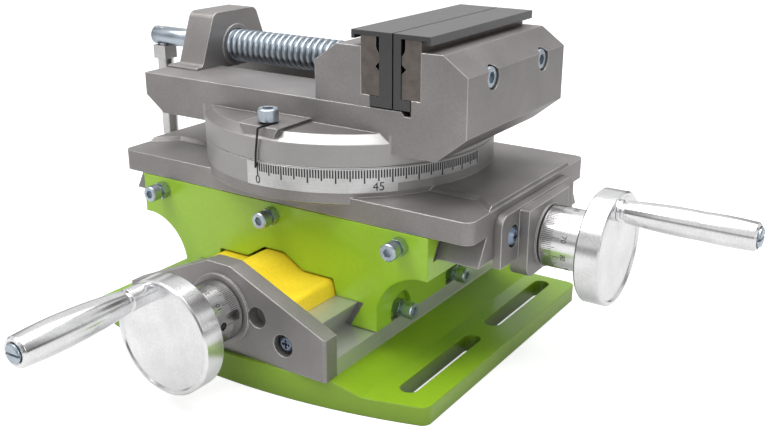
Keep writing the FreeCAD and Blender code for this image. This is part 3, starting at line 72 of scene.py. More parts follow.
def middle(node):
    """The centre of a node's box."""
    low, high = corners(node)
    return (low + high) / 2


SWIVEL = Vector(joint("vise_swivel")["pos_m"])
LOWER_AXIS = Vector(joint("lower_crank_turn")["pos_m"])
UPPER_AXIS = Vector(joint("upper_crank_turn")["pos_m"])
SCREW_AXIS = Vector(joint("vise_screw_turn")["pos_m"])
SCALE_LOW, SCALE_HIGH = corners("degree_scale")

# Milled places of the castings
CHANNEL_DEPTH = 13 * MM
CHANNEL_HALF_WIDTH = 58.2 * MM
DISC_RADIUS = 76 * MM
BOSS_DEPTH = 12.2 * MM
# Colour of the castings' edges: a painted highlight, with rubbed wear
EDGE_HIGHLIGHT_AND_WEAR = (0.84, 0.84, 0.84)

# Yellow covers: the foot leans in to the wing, which is flat up to the hump
FOOT_LEAN = 1.8 * MM
WING_RISE = 7.8 * MM
HUMP_HALF = 17 * MM
CROWN_HALF = 5.5 * MM
WING_BEND, HUMP_BEND, CROWN_BEND = 3.2 * MM, 5 * MM, 6 * MM

# Screw tower
TOWER_FOOT = 3.2 * MM
TOWER_STEP = 4 * MM
TOWER_BASE_HALF = 28 * MM
TOWER_TOP_HALF = 17 * MM
TOWER_TOP_ROUND = 5 * MM
TOWER_FOOT_ROUND = 2.6 * MM
TOWER_EDGE_ROUND = 1.2 * MM
TOWER_RING = 11.5 * MM
TOWER_RING_PROUD = 0.6 * MM
TOWER_BOLT_REACH = 5 * MM
SHARP = 0.01 * MM

# Lead screw threads: clear of the thrust collar, and just over the screw's plain end
COLLAR_ROOM = 4.6 * MM
THREAD_COVER = 0.02 * MM

# How near a point must be to a screw's ends to count as on them
HAIR = 0.01 * MM

# Marks and numbers
DIGIT_SHARE = 0.72
DIGIT_THICKNESS = 0.01 * MM
COLLAR_EDGE = 1.2 * MM
COLLAR_MARK_WIDTH = 0.24 * MM
COLLAR_NUMBER_PLACE = 11.4 * MM

# The floor stops just under the base
FLOOR_HALF = 6.0
FLOOR_DROP = 0.0002


def paint_choice(name, description, default):
    """A colour on the panel."""
    return bpy.props.FloatVectorProperty(name=name, description=description, default=default,
                                         subtype="COLOR", min=0, max=1)


def number_choice(name, description, default, least=0.0, **kind):
    """A number on the panel; kind says what it measures."""
    return bpy.props.FloatProperty(name=name, description=description, default=default, min=least, **kind)


def length_choice(name, description, default, least):
    """A length on the panel, in metres."""
    return number_choice(name, description, default, least, unit="LENGTH")


def angle_choice(name, description, degrees):
    """An angle on the panel."""
    return bpy.props.FloatProperty(name=name, description=description, default=math.radians(degrees),
                                   subtype="ANGLE")


class VisePaints(bpy.types.PropertyGroup):
    """The colours of the vise's finishes."""

    green: paint_choice("Enamel", "Lime green enamel of the base", (0.245, 0.425, 0.016))
    # The saddle's enamel is the base's green made brighter: painted light on the saddle
    saddle_green: paint_choice("Saddle enamel", "The brighter enamel of the saddle", (0.36, 0.62, 0.03))
    casting: paint_choice("Casting", "Blasted grey casting of the table and vise", (0.305, 0.291, 0.287))
    milled: paint_choice("Milled metal", "Freshly milled faces and edges", (0.62, 0.62, 0.615))
    polished: paint_choice("Polished aluminium", "Crank wheels, grips and dial collars", (0.80, 0.80, 0.81))
    yellow: paint_choice("Cover yellow", "Moulded covers over the lower screw", (1.0, 0.72, 0.035))
    black: paint_choice("Cover black", "Moulded covers on the jaws", (0.009, 0.009, 0.010))
    zinc: paint_choice("Zinc plate", "Plated screws and nuts", (0.50, 0.57, 0.64))
    jaw_steel: paint_choice("Jaw steel", "Ground jaw plates", (0.20, 0.175, 0.16))
    mark: paint_choice("Dial marks", "Black filling of the divisions and numbers", (0.02, 0.02, 0.022))


class ViseSizes(bpy.types.PropertyGroup):
    """Sizes of the threads, the dial marks, the covers and the tower."""

    screw_pitch: length_choice("Vise screw pitch", "Rise of its thread in one turn", 0.004, 0.001)
    screw_depth: length_choice("Vise screw depth", "Depth of the vise screw's thread", 0.0014, 0.0002)
    lead_pitch: length_choice("Lead screw pitch", "Rise of its thread in one turn", 0.0025, 0.001)
    lead_depth: length_choice("Lead screw depth", "Depth of a lead screw's thread", 0.001, 0.0002)
    mark_width: length_choice("Division width", "Width of a line on the degree scale", 0.00072, 0.0001)
    mark_lift: length_choice("Division thickness", "How far marks stand out", 0.00006, 0.00001)
    collar_divisions: bpy.props.IntProperty(
        name="Collar divisions", description="Lines round each dial collar", default=100, min=10)
    number_height: length_choice("Number height", "On the degree scale", 0.0042, 0.001)
    collar_number_height: length_choice("Collar number height", "On the dial collars", 0.0026, 0.001)
    cover_sheet: length_choice("Cover thickness", "Thickness of the yellow covers", 0.0015, 0.0005)
    tower_bore: length_choice("Tower bore", "Radius of the bore for the vise screw", 0.009, 0.005)


class ViseStage(bpy.types.PropertyGroup):
    """Camera and light."""

    eye: bpy.props.FloatVectorProperty(
        name="Camera place", description="Where the camera stands", subtype="TRANSLATION", unit="LENGTH",
        default=(0.2963, -0.4049, 0.2336))
    azimuth: angle_choice("Azimuth", "Turn of the view about the vertical", 33.45)
    elevation: angle_choice("Elevation", "Height of the view over the horizon", 19.65)
    roll: angle_choice("Roll", "Turn of the view about its own line", 0.05)
    lens: number_choice("Lens", "Focal length on a 36 mm sensor, in millimetres", 45.7, 10)
    key_power: number_choice("Key light", "Power of the large lamp over the left shoulder", 10.0)
    fill_power: number_choice("Fill light", "Power of the lamp on the right", 2.4)
    top_power: number_choice("Top light", "Power of the lamp overhead", 13.0)
    sky: number_choice("Room light", "Strength of the even light from all sides", 0.42)


def settings():
    """The values on the panel: the paints, the sizes and the stage."""
    scene = bpy.context.scene
    return scene.vise_paints, scene.vise_sizes, scene.vise_stage


class Graph:
    """Small helper that lays out and links the nodes of one tree."""

    def __init__(self, tree):
        self.tree = tree
        self.count = 0

    def node(self, kind, inputs=(), **values):
        item = self.tree.nodes.new(kind)
        item.location = (220 * (self.count % 8), -260 * (self.count // 8))
        self.count += 1
        for name, value in values.items():
            setattr(item, name, value)
        for key, value in dict(inputs).items():
            self.put(item.inputs[key], value)
        return item

    def put(self, socket, value):
        """Links a socket, or sets its plain value."""
        if isinstance(value, bpy.types.NodeSocket):
            self.tree.links.new(value, socket)
        elif isinstance(value, bpy.types.Node):
            self.tree.links.new(value.outputs[0], socket)
        else:
            socket.default_value = value

    def maths(self, operation, first, second=0.0, clamp=False):
        item = self.node("ShaderNodeMath", {0: first, 1: second}, operation=operation, use_clamp=clamp)
        return item.outputs[0]

    def ramp(self, value, low, high, start=0.0, end=1.0):
        """Goes evenly from start to end as the value goes from low to high."""
        item = self.node("ShaderNodeMapRange", {"Value": value, "From Min": low, "From Max": high,
                                                "To Min": start, "To Max": end})
        return item.outputs[0]

    def band(self, value, low, high, soft):
        """1 between low and high, fading over soft."""
        rise = self.ramp(value, low - soft, low + soft)
        fall = self.ramp(value, high - soft, high + soft, 1.0, 0.0)
        return self.maths("MULTIPLY", rise, fall)

    def product(self, first, *others):
        """All the masks multiplied."""
        for other in others:
            first = self.maths("MULTIPLY", first, other)
        return first

    def distance(self, first, second):
        """How far a point with these two coordinates is from their axis."""
        return self.maths("SQRT", self.maths("ADD", self.product(first, first), self.product(second, second)))

    def grey(self, value):
        """A grey of this brightness."""
        return self.node("ShaderNodeCombineColor", {"Red": value, "Green": value, "Blue": value}).outputs[0]

    def own_place(self):
        """The three object coordinates."""
        place = self.node("ShaderNodeTexCoord").outputs["Object"]
        return self.node("ShaderNodeSeparateXYZ", {0: place}).outputs

    def facing(self):
        """The three parts of the true normal."""
        normal = self.node("ShaderNodeNewGeometry").outputs["True Normal"]
        return self.node("ShaderNodeSeparateXYZ", {0: normal}).outputs

    def blend(self, mask, first, second, mode="MIX"):
        item = self.node("ShaderNodeMix", data_type="RGBA", blend_type=mode)
        for key, value in (("Factor_Float", mask), ("A_Color", first), ("B_Color", second)):
            socket = [s for s in item.inputs if s.identifier == key][0]
            if isinstance(value, tuple) and len(value) == 3:
                value = (*value, 1.0)
            self.put(socket, value)
        return [s for s in item.outputs if s.identifier == "Result_Color"][0]


def colour(paint):
    """A paint with full opacity."""
    return (paint[0], paint[1], paint[2], 1.0)


def effect(inputs, outputs):
    """Makes a function that lays out nodes into one that gives their node group, built once."""
    def wrap(fill):
        def shared():
            tree = bpy.data.node_groups.get(fill.__name__)
            if tree:
                return tree
            tree = bpy.data.node_groups.new(fill.__name__, "ShaderNodeTree")
            for label, value in inputs.items():
                socket = tree.interface.new_socket(label, in_out="INPUT", socket_type="NodeSocketFloat")
                socket.default_value = value
            for label in outputs:
                kind = "NodeSocketVector" if label == "Normal" else "NodeSocketFloat"
                tree.interface.new_socket(label, in_out="OUTPUT", socket_type=kind)
            graph = Graph(tree)
            graph.node("NodeGroupOutput", fill(graph, graph.node("NodeGroupInput").outputs))
            return tree
        return shared
    return wrap


def noise(graph, vector, scale, detail, roughness):
    """The grey value of a noise texture."""
    return graph.node("ShaderNodeTexNoise", {"Vector": vector, "Scale": scale, "Detail": detail,
                                             "Roughness": roughness}).outputs[0]


@effect({"Radius": 0.0006}, ("Normal", "Edge"))
def soft_edge(graph, source):
    """Rounds the light over sharp edges and marks where an edge is."""
    bevel = graph.node("ShaderNodeBevel", {"Radius": source["Radius"]}, samples=4)
    normal = graph.node("ShaderNodeNewGeometry").outputs["True Normal"]
    dot = graph.node("ShaderNodeVectorMath", {0: bevel.outputs[0], 1: normal}, operation="DOT_PRODUCT")
    turned = graph.maths("SUBTRACT", 1.0, dot.outputs["Value"])
    return {"Normal": bevel.outputs[0], "Edge": graph.ramp(turned, 0.02, 0.22)}


@effect({"Grain Scale": 1400.0, "Cloud Scale": 38.0}, ("Height", "Tone", "Cloud"))
def blasted_grain(graph, source):
    """Fine pits and faint clouds of a blasted casting."""
    place = graph.node("ShaderNodeTexCoord").outputs["Object"]
    fine = noise(graph, place, source["Grain Scale"], 3.0, 0.6)
    cloud = noise(graph, place, source["Cloud Scale"], 4.0, 0.55)
    tone = graph.product(graph.ramp(cloud, 0.3, 0.7, 0.9, 1.08), graph.ramp(fine, 0.25, 0.75, 0.93, 1.07))
    return {"Height": fine, "Tone": tone, "Cloud": cloud}


@effect({"Along": 0.0, "Fineness": 2600.0}, ("Height", "Tone"))
def cut_lines(graph, source):
    """Fine tool lines: they vary along one coordinate and not across it."""
    stretched = graph.node("ShaderNodeCombineXYZ", {"X": graph.product(source["Along"], source["Fineness"])})
    lines = noise(graph, stretched, 1.0, 5.0, 0.7)
    return {"Height": lines, "Tone": graph.ramp(lines, 0.25, 0.75, 0.86, 1.1)}


@effect({"Reach": 0.003, "Darkest": 0.55}, ("Tone",))
def crevice_dirt(graph, source):
    """Painted shade: darker where surfaces stand close to each other."""
    nearby = graph.node("ShaderNodeAmbientOcclusion", {"Distance": source["Reach"]}, samples=4)
    return {"Tone": graph.ramp(nearby.outputs["AO"], 0.2, 0.7, source["Darkest"], 1.0)}


def start_material(name):
    """A new material: itself, its empty graph and its shader."""
    old = bpy.data.materials.get(name)
    if old:
        bpy.data.materials.remove(old)
    material = bpy.data.materials.new(name)
    material.use_nodes = True
    material.node_tree.nodes.clear()
    graph = Graph(material.node_tree)
    shader = graph.node("ShaderNodeBsdfPrincipled")
    sink = graph.node("ShaderNodeOutputMaterial")
    graph.put(sink.inputs["Surface"], shader.outputs[0])
    return material, graph, shader


def place_group(graph, tree, **inputs):
    """Puts a shared effect into a graph, its inputs named with _ for a space."""
    item = graph.node("ShaderNodeGroup")
    item.node_tree = tree
    for label, value in inputs.items():
        graph.put(item.inputs[label.replace("_", " ")], value)
    return item


def shift_from(graph, centre):
    """Object coordinates measured from a point of the part."""
    place = graph.node("ShaderNodeTexCoord").outputs["Object"]
    moved = graph.node("ShaderNodeVectorMath", {0: place, 1: tuple(-v for v in centre)}, operation="ADD")
    return graph.node("ShaderNodeSeparateXYZ", {0: moved.outputs[0]}).outputs


def bump(graph, height, strength, distance, normal):
    """The normal of a surface that a height roughens."""
    item = graph.node("ShaderNodeBump", {"Height": height, "Strength": strength, "Distance": distance,
                                         "Normal": normal})
    return item.outputs["Normal"]


def shade(graph, base, factor):
    """A colour multiplied by a factor that changes over the surface."""
    return graph.blend(1.0, base, graph.grey(factor), "MULTIPLY")


def dress(graph, shader, **values):
    """Sets or links the shader's sockets, named with _ for a space."""
    for label, value in values.items():
        graph.put(shader.inputs[label.replace("_", " ")], value)


def start_finish(name, edge_radius, grain_scale, cloud_scale):
    """A new material's graph and shader, with the soft edge and the grain that its finish is made from."""
    _, graph, shader = start_material(name)
    edge = place_group(graph, soft_edge(), Radius=edge_radius).outputs
    grain = place_group(graph, blasted_grain(), Grain_Scale=grain_scale, Cloud_Scale=cloud_scale).outputs
    return graph, shader, edge, grain


def enamel(name, paint, bare, bare_mask, coat=0.35, reach=0.005, darkest=0.55):
    """Glossy enamel over a casting, with bare milled metal where a mask says, a painted highlight on its edges
    and painted shade in its crevices.
    """
    graph, shader, edge, grain = start_finish(name, 0.0011, 420.0, 24.0)
    calm = graph.maths("ADD", graph.product(grain["Tone"], 0.45), 0.55)
    # Lighter green on the edges: a painted highlight
    edge_highlight = tuple(min(1.0, c * 1.5 + 0.06) for c in paint)
    painted = graph.blend(graph.product(edge["Edge"], 0.22), shade(graph, colour(paint), calm), edge_highlight)
    # Painted shade, darker where surfaces stand close
    corner_shade = place_group(graph, crevice_dirt(), Reach=reach, Darkest=darkest)
    painted = shade(graph, painted, corner_shade.outputs["Tone"])
    mask = bare_mask(graph)
    lines = place_group(graph, cut_lines(), Along=graph.own_place()["X"], Fineness=1500.0)
    painted = graph.blend(mask, painted, shade(graph, colour(bare), lines.outputs["Tone"]))
    rough = graph.ramp(grain["Cloud"], 0.0, 1.0, 0.24, 0.36)
    dress(graph, shader, Base_Color=painted, Coat_Roughness=0.12,
          Coat_Weight=graph.product(graph.maths("SUBTRACT", 1.0, mask), coat),
          Metallic=graph.product(mask, 0.75), Roughness=graph.maths("ADD", rough, graph.product(mask, 0.08)),
          Normal=bump(graph, grain["Height"], 0.10, 0.0002, edge["Normal"]))


def base_bare_mask(graph):
    """The bare part of the base: all that is milled above the painted skirt."""
    plate_low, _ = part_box("end_plate")
    return graph.maths("GREATER_THAN", graph.own_place()["Z"], plate_low[2] + 0.04 * MM)


def saddle_bare_mask(graph):
    """The milled channels of the saddle: what faces the rails of the table."""
    place = graph.own_place()
    low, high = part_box("saddle_casting")
    top = graph.maths("GREATER_THAN", place["Z"], high[2] - CHANNEL_DEPTH)
    depth = graph.maths("ABSOLUTE", graph.maths("SUBTRACT", place["Y"], (low[1] + high[1]) / 2))
    inside = graph.maths("LESS_THAN", depth, CHANNEL_HALF_WIDTH)
    lies = graph.maths("LESS_THAN", graph.maths("ABSOLUTE", graph.facing()["X"]), 0.5)
    return graph.product(top, inside, lies)


def casting(name, paint, milled, milled_mask=None):
    """A blasted grey casting, with a painted highlight and rubbed wear along its edges, painted shade in its
    crevices, and brighter where it has been milled.
    """
    graph, shader, edge, grain = start_finish(name, 0.0008, 1500.0, 30.0)
    strong = graph.maths("ADD", graph.product(grain["Tone"], 1.5), -0.5)
    # Edges lightened unevenly: a painted highlight with rubbed wear
    highlight_and_rub = graph.ramp(grain["Cloud"], 0.35, 0.65, 0.55, 1.0)
    body = graph.blend(graph.product(edge["Edge"], highlight_and_rub), shade(graph, colour(paint), strong), EDGE_HIGHLIGHT_AND_WEAR)
    # Painted shade, darker where surfaces stand close
    corner_shade = place_group(graph, crevice_dirt())
    body = shade(graph, body, corner_shade.outputs["Tone"])
    rough = graph.ramp(grain["Cloud"], 0.0, 1.0, 0.40, 0.54)
    if milled_mask is not None:
        mask, along = milled_mask(graph)
        lines = place_group(graph, cut_lines(), Along=along, Fineness=2200.0)
        body = graph.blend(mask, body, shade(graph, colour(milled), lines.outputs["Tone"]))
        rough = graph.maths("SUBTRACT", rough, graph.product(mask, 0.14))
    dress(graph, shader, Base_Color=body, Metallic=0.72, Roughness=rough,
          Normal=bump(graph, grain["Height"], 0.12, 0.00015, edge["Normal"]))


def round_place(graph, centre):
    """Distance from an upright axis, and height, for surfaces turned about it."""
    place = shift_from(graph, centre)
    return graph.distance(place["X"], place["Y"]), place["Z"]


def table_milled(graph):
    """The boss of the table, turned all round."""
    radius, height = round_place(graph, SWIVEL)
    rim = graph.band(radius, DISC_RADIUS - 0.8 * MM, DISC_RADIUS + 0.8 * MM, 0.2 * MM)
    up = graph.maths("GREATER_THAN", height, -BOSS_DEPTH)
    return graph.product(rim, up, 0.28), height


def vise_milled(graph):
    """The disc's turned rim, and a painted highlight on the right part of its bevel."""
    radius, height = round_place(graph, SWIVEL)
    leaning = graph.band(graph.facing()["Z"], 0.45, 0.9, 0.02)
    bevel = graph.product(graph.band(height, 9.5 * MM, 15.2 * MM, 0.1 * MM),
                          graph.band(radius, 71.8 * MM, 76.5 * MM, 0.1 * MM))
    # Only the bevel's right part gets the bright milled colour: a painted highlight
    right_part = graph.maths("GREATER_THAN", shift_from(graph, SWIVEL)["X"], 12 * MM)
    painted_highlight = graph.product(bevel, leaning, graph.product(right_part, 0.6))
    turned = graph.product(graph.band(radius, DISC_RADIUS - 0.3 * MM, DISC_RADIUS + 0.8 * MM, 0.2 * MM),
                           graph.maths("LESS_THAN", height, 14.7 * MM))
    return graph.maths("MAXIMUM", painted_highlight, graph.product(turned, 0.3)), height


def turned_metal(name, paint, axis, centre, rough=0.2, fineness=2600.0, line_strength=0.05, thread=None):
    """Polished metal turned about an axis, with fine lines round it; a thread gets painted shade, darker from
    crest to root.
    """
    graph, shader, edge, grain = start_finish(name, 0.0003, 900.0, 60.0)
    place = shift_from(graph, centre)
    radius = graph.distance(*(place[n] for n in "XYZ" if n != axis))
    spiral = graph.maths("ADD", place[axis], radius)
    lines = place_group(graph, cut_lines(), Along=spiral, Fineness=fineness).outputs
    tone = graph.product(lines["Tone"], grain["Tone"])
    # Painted shade: darker towards the thread's root
    if thread:
        root, crest = thread
        tone = graph.product(tone, graph.ramp(radius, root, crest, 0.3, 1.0))
    dress(graph, shader, Base_Color=shade(graph, colour(paint), tone), Metallic=1.0,
          Roughness=graph.ramp(lines["Height"], 0.0, 1.0, rough * 0.8, rough * 1.25),
          Normal=bump(graph, lines["Height"], line_strength, 0.0001, edge["Normal"]))


def plated_steel(name, paint, rough, stain):
    """Plated or bare steel of screws and nuts, with darker patches scattered over it."""
    graph, shader, edge, grain = start_finish(name, 0.00025, 1800.0, 260.0)
    dull = tuple(c * 0.45 for c in paint)
    patch = graph.ramp(grain["Cloud"], 0.35, 0.7, 0.0, stain)
    body = graph.blend(patch, shade(graph, colour(paint), grain["Tone"]), dull)
    # Edges lightened to a pale blue white: a painted highlight
    dress(graph, shader, Base_Color=graph.blend(graph.product(edge["Edge"], 0.6), body, (0.85, 0.87, 0.9)),
          Metallic=0.95, Roughness=graph.ramp(grain["Cloud"], 0.0, 1.0, rough * 0.8, rough * 1.5),
          Normal=bump(graph, grain["Height"], 0.06, 0.0001, edge["Normal"]))


def moulded(name, paint, rough, coat, grain_scale, grain_strength):
    """Moulded plastic with a fine grain, paler on its edges: rubbed wear and a painted highlight."""
    graph, shader, edge, grain = start_finish(name, 0.0006, grain_scale, 45.0)
    # Paler edges: rubbed wear and a painted highlight
    rubbed_and_highlit = tuple(min(1.0, c * 1.25 + 0.03) for c in paint)
    body = graph.blend(graph.product(edge["Edge"], 0.5), shade(graph, colour(paint), grain["Tone"]), rubbed_and_highlit)
    dress(graph, shader, Base_Color=body, Coat_Weight=coat, Coat_Roughness=0.2,
          Roughness=graph.ramp(grain["Cloud"], 0.0, 1.0, rough - 0.06, rough + 0.08),
          Normal=bump(graph, grain["Height"], grain_strength, 0.0002, edge["Normal"]))


def printed_mark(name, paint):
    """Black filling of an engraved mark, slightly worn."""
    _, graph, shader = start_material(name)
    grain = place_group(graph, blasted_grain(), Grain_Scale=2500.0, Cloud_Scale=300.0)
    worn = graph.ramp(grain.outputs["Cloud"], 0.55, 0.75, 0.0, 0.35)
    dress(graph, shader, Base_Color=graph.blend(worn, colour(paint), (0.12, 0.12, 0.12)), Roughness=0.6)


def build_materials():
    """Makes all the finishes."""
    paints, sizes, _ = settings()
    screw_low, screw_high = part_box("vise_screw")
    crest = (screw_high[2] - screw_low[2]) / 2
    # The base's painted shade reaches further, darkening its front wall under the end plate
    enamel("base_enamel", paints.green, paints.milled, base_bare_mask, coat=0.12, reach=0.03, darkest=0.5)
    # The saddle gets a brighter copy of the enamel: painted light
    enamel("saddle_enamel", paints.saddle_green, paints.milled, saddle_bare_mask)
    for name, mask in (("grey_casting", None), ("table_casting", table_milled), ("vise_casting", vise_milled)):
        casting(name, paints.casting, paints.milled, mask)
    for side, axis, centre in (("lower", "Y", LOWER_AXIS), ("upper", "X", UPPER_AXIS)):
        grip_centre = Vector(joint(side + "_grip_turn")["pos_m"])
        turned_metal(side + "_turned", paints.polished, axis, centre)
        turned_metal(side + "_grip_metal", paints.polished, axis, grip_centre, rough=0.16)
        turned_metal(side + "_screw_steel", (0.50, 0.50, 0.49), axis, centre, rough=0.3)
    screw = dict(paint=paints.zinc, axis="X", centre=SCREW_AXIS, fineness=900.0, line_strength=0.02)
    turned_metal("vise_screw_zinc", rough=0.34, **screw)
    # The thread's zinc carries painted shade in its grooves
    turned_metal("vise_thread_zinc", rough=0.30, thread=(crest - sizes.screw_depth, crest - 0.0002), **screw)
    turned_metal("handle_steel", (0.62, 0.62, 0.62), "Z", middle("handle_bar"), rough=0.25)
    turned_metal("scale_metal", (0.62, 0.62, 0.62), "Z", SWIVEL, rough=0.38, fineness=1500.0)
    plated_steel("zinc_plate", paints.zinc, 0.26, 0.5)
    plated_steel("dark_zinc", (0.24, 0.30, 0.40), 0.28, 0.5)
    plated_steel("bare_steel", (0.42, 0.41, 0.40), 0.34, 0.35)
    plated_steel("black_steel", (0.035, 0.035, 0.04), 0.38, 0.2)
    plated_steel("jaw_steel", paints.jaw_steel, 0.40, 0.55)
    plated_steel("nut_bronze", (0.52, 0.30, 0.11), 0.30, 0.3)
    moulded("cover_yellow", paints.yellow, 0.36, 0.3, 700.0, 0.05)
    moulded("cover_black", paints.black, 0.4, 1.0, 1500.0, 0.12)
    printed_mark("dial_mark", paints.mark)


# The nodes that get each finish; all others are zinc plated
FINISHES = {
    "base_enamel": "base_casting",
    "saddle_enamel": "saddle_casting",
    "grey_casting": "end_plate end_bracket screw_bracket movable_jaw",
    "table_casting": "slide_table",
    "vise_casting": "vise_body",
    "cover_yellow": "front_screw_cover rear_screw_cover",
    "cover_black": "fixed_jaw_cover movable_jaw_cover",
    "lower_turned": "lower_crank_wheel lower_graduated_collar",
    "upper_turned": "upper_crank_wheel upper_graduated_collar",
    "lower_grip_metal": "lower_crank_grip",
    "upper_grip_metal": "upper_crank_grip",
    "lower_screw_steel": "lower_lead_screw",
    "upper_screw_steel": "upper_lead_screw",
    "bare_steel": "lower_thrust_collar upper_thrust_collar lower_gib_strip upper_gib_strip swivel_pivot "
                  "swivel_clamp_nuts jaw_keeper",
    "nut_bronze": "lower_lead_nut upper_lead_nut",
    "jaw_steel": "fixed_jaw_plate movable_jaw_plate",
    "dark_zinc": "end_plate_screws bracket_screws",
    "black_steel": "angle_pointer screw_retainer handle_grub_screw lower_collar_set_screw "
                   "upper_collar_set_screw",
    "scale_metal": "degree_scale",
    "vise_screw_zinc": "vise_screw",
    "handle_steel": "handle_bar",
}
FINISH_OF = {node: finish for finish, nodes in FINISHES.items() for node in nodes.split()}


def add_object(name, data):
    """A new object in the scene."""
    obj = bpy.data.objects.new(name, data)
    bpy.context.scene.collection.objects.link(obj)
    return obj


def final_mesh(obj, *helpers):
    """An object's mesh with its modifiers applied; the object and its helpers are then removed."""
    depsgraph = bpy.context.evaluated_depsgraph_get()
    mesh = bpy.data.meshes.new_from_object(obj.evaluated_get(depsgraph))
    for item in (obj, *helpers):
        data = item.data
        bpy.data.objects.remove(item)
        (bpy.data.curves if isinstance(data, bpy.types.Curve) else bpy.data.meshes).remove(data)
    return mesh


def give(obj, material):
    """Gives an object one material."""
    if obj.data.materials:
        for index in range(len(obj.data.materials)):
            obj.data.materials[index] = material
    else:
        obj.data.materials.append(material)


def new_piece(name, mesh, body, finish):
    """Adds a finished mesh, with its place in its vertices, and lets it ride on a body."""
    piece = add_object(name, mesh)
    give(piece, bpy.data.materials[finish])
    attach(piece, body)
    return piece


def lathe_mesh(name, axis, centre, stations, around, radius_at):
    """A closed form about an axis: radius_at(place, turn) gives its radius at each station and turn."""
    along = {"X": Vector((1, 0, 0)), "Y": Vector((0, 1, 0))}[axis]
    side = {"X": Vector((0, 1, 0)), "Y": Vector((0, 0, 1))}[axis]
    up = along.cross(side)
    points = []
    faces = []
    base = Vector(centre) - along * along.dot(Vector(centre))
    for place in stations:
        for step in range(around):
            turn = 2 * math.pi * step / around
            radius = radius_at(place, turn)
            around_axis = side * (radius * math.cos(turn)) + up * (radius * math.sin(turn))
            points.append(base + along * place + around_axis)
    for row in range(len(stations) - 1):
        for step in range(around):
            a = row * around + step
            b = row * around + (step + 1) % around
            faces.append((a, b, b + around, a + around))
    for row, backwards in ((0, True), (len(stations) - 1, False)):
        points.append(base + along * stations[row])
        tip = len(points) - 1
        for step in range(around):
            a = row * around + step
            b = row * around + (step + 1) % around
            faces.append((tip, b, a) if backwards else (tip, a, b))
    mesh = bpy.data.meshes.new(name)
    mesh.from_pydata([tuple(p) for p in points], [], faces)
    mesh.validate()
    mesh.polygons.foreach_set("use_smooth", [True] * len(mesh.polygons))
    mesh.update()
    return mesh


def thread_height(phase):
    """A thread's height, 0 at the root and 1 at the crest, over one pitch; the flanks are straight."""
    wave = abs((phase % 1.0) * 2 - 1)
    return min(1.0, max(0.0, (wave - 0.22) / 0.46))


class VISE_OT_finishes(bpy.types.Operator):
    """Gives each CAD node its finish"""

    bl_idname = "vise.finishes"
    bl_label = "Finishes"

    def execute(self, context):
        build_materials()
        unknown = set(FINISH_OF) - set(NODES)
        if unknown:
            raise RuntimeError("no such nodes: " + ", ".join(sorted(unknown)))
        for name, obj in NODES.items():
            give(obj, bpy.data.materials[FINISH_OF.get(name, "zinc_plate")])
        return {"FINISHED"}


def spread(start, end, step):
    """Places from start to end, about a step apart."""
    count = max(2, int(round((end - start) / step)) + 1)
    return [start + (end - start) * k / (count - 1) for k in range(count)]


def bent_line(points, radii, steps=7):
    """A line whose inner corners are rounded; gives its points and their normals, to the right of its run."""
    line = [Vector(p) for p in points]
    ways = [(b - a).normalized() for a, b in zip(line, line[1:])]
    rights = [Vector((w.y, -w.x)) for w in ways]
    result = [(line[0], rights[0])]
    for corner, radius, first, second, start in zip(line[1:], radii, ways, ways[1:], rights):
        turn = math.atan2(first.x * second.y - first.y * second.x, first.dot(second))
        sense = 1 if turn > 0 else -1
        centre = corner - first * (radius * math.tan(abs(turn) / 2)) - start * (radius * sense)
        for step in range(steps + 1):
            part = turn * step / steps
            normal = Vector((start.x * math.cos(part) - start.y * math.sin(part),
                             start.x * math.sin(part) + start.y * math.cos(part)))
            result.append((centre + normal * (radius * sense), normal))
    result.append((line[-1], rights[-1]))
    return result


def closed_mesh(name, points, faces):
    """A mesh whose faces all point outwards."""
    mesh = bpy.data.meshes.new(name)
    mesh.from_pydata(points, [], faces)
    work = bmesh.new()
    work.from_mesh(mesh)
    bmesh.ops.recalc_face_normals(work, faces=work.faces)
    work.to_mesh(mesh)
    work.free()
    return mesh


def smooth_but_edges(mesh, angle=0.6):
    """Smooth shading that keeps the sharp edges sharp."""
    mesh.polygons.foreach_set("use_smooth", [True] * len(mesh.polygons))
    mesh.set_sharp_from_angle(angle=angle)
    mesh.update()


class VISE_OT_screw_covers(bpy.types.Operator):
    """Bends the two yellow covers over the lower screw, with round bends"""

    bl_idname = "vise.screw_covers"
    bl_label = "Lower screw covers"

    def execute(self, context):
        _, sizes, _ = settings()
        for node in ("front_screw_cover", "rear_screw_cover"):
            low, high = corners(node)
            mesh = self.cover_mesh(node + "_shell", low, high, sizes.cover_sheet)
            piece = new_piece(node + "_shell", mesh, "base", "cover_yellow")
            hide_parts(node)
        return {"FINISHED"}

    def cover_mesh(self, name, low, high, sheet):
        foot = (high.x - low.x) / 2
        centre = (high.x + low.x) / 2
        wing_top = low.z + WING_RISE
        half = [(foot, low.z), (foot - FOOT_LEAN, wing_top), (HUMP_HALF, wing_top), (CROWN_HALF, high.z)]
        bends = [WING_BEND, HUMP_BEND, CROWN_BEND]
        line = bent_line(half + [(-x, z) for x, z in reversed(half)], bends + bends[::-1])
        rows = []
        for depth in (low.y, high.y):
            outer = [(centre + p.x, depth, p.y) for p, _ in line]
            inner = [(centre + p.x - n.x * sheet, depth, p.y - n.y * sheet) for p, n in line]
            inner[0] = (inner[0][0], depth, low.z)
            inner[-1] = (inner[-1][0], depth, low.z)
            rows.append((outer, inner))
        count = len(line)
        points = [p for outer, inner in rows for p in outer + inner]
        faces = []
        for i in range(count - 1):
            a, b = i, i + 1
            c, d = count + i, count + i + 1
            far = 2 * count
            faces += [(a, b, b + far, a + far), (d, c, c + far, d + far), (b, a, c, d),
                      (a + far, b + far, d + far, c + far)]
        last = count - 1
        faces += [(0, 2 * count, 3 * count, count), (last, count + last, 3 * count + last, 2 * count + last)]
        mesh = closed_mesh(name, points, faces)
        smooth_but_edges(mesh)
        return mesh


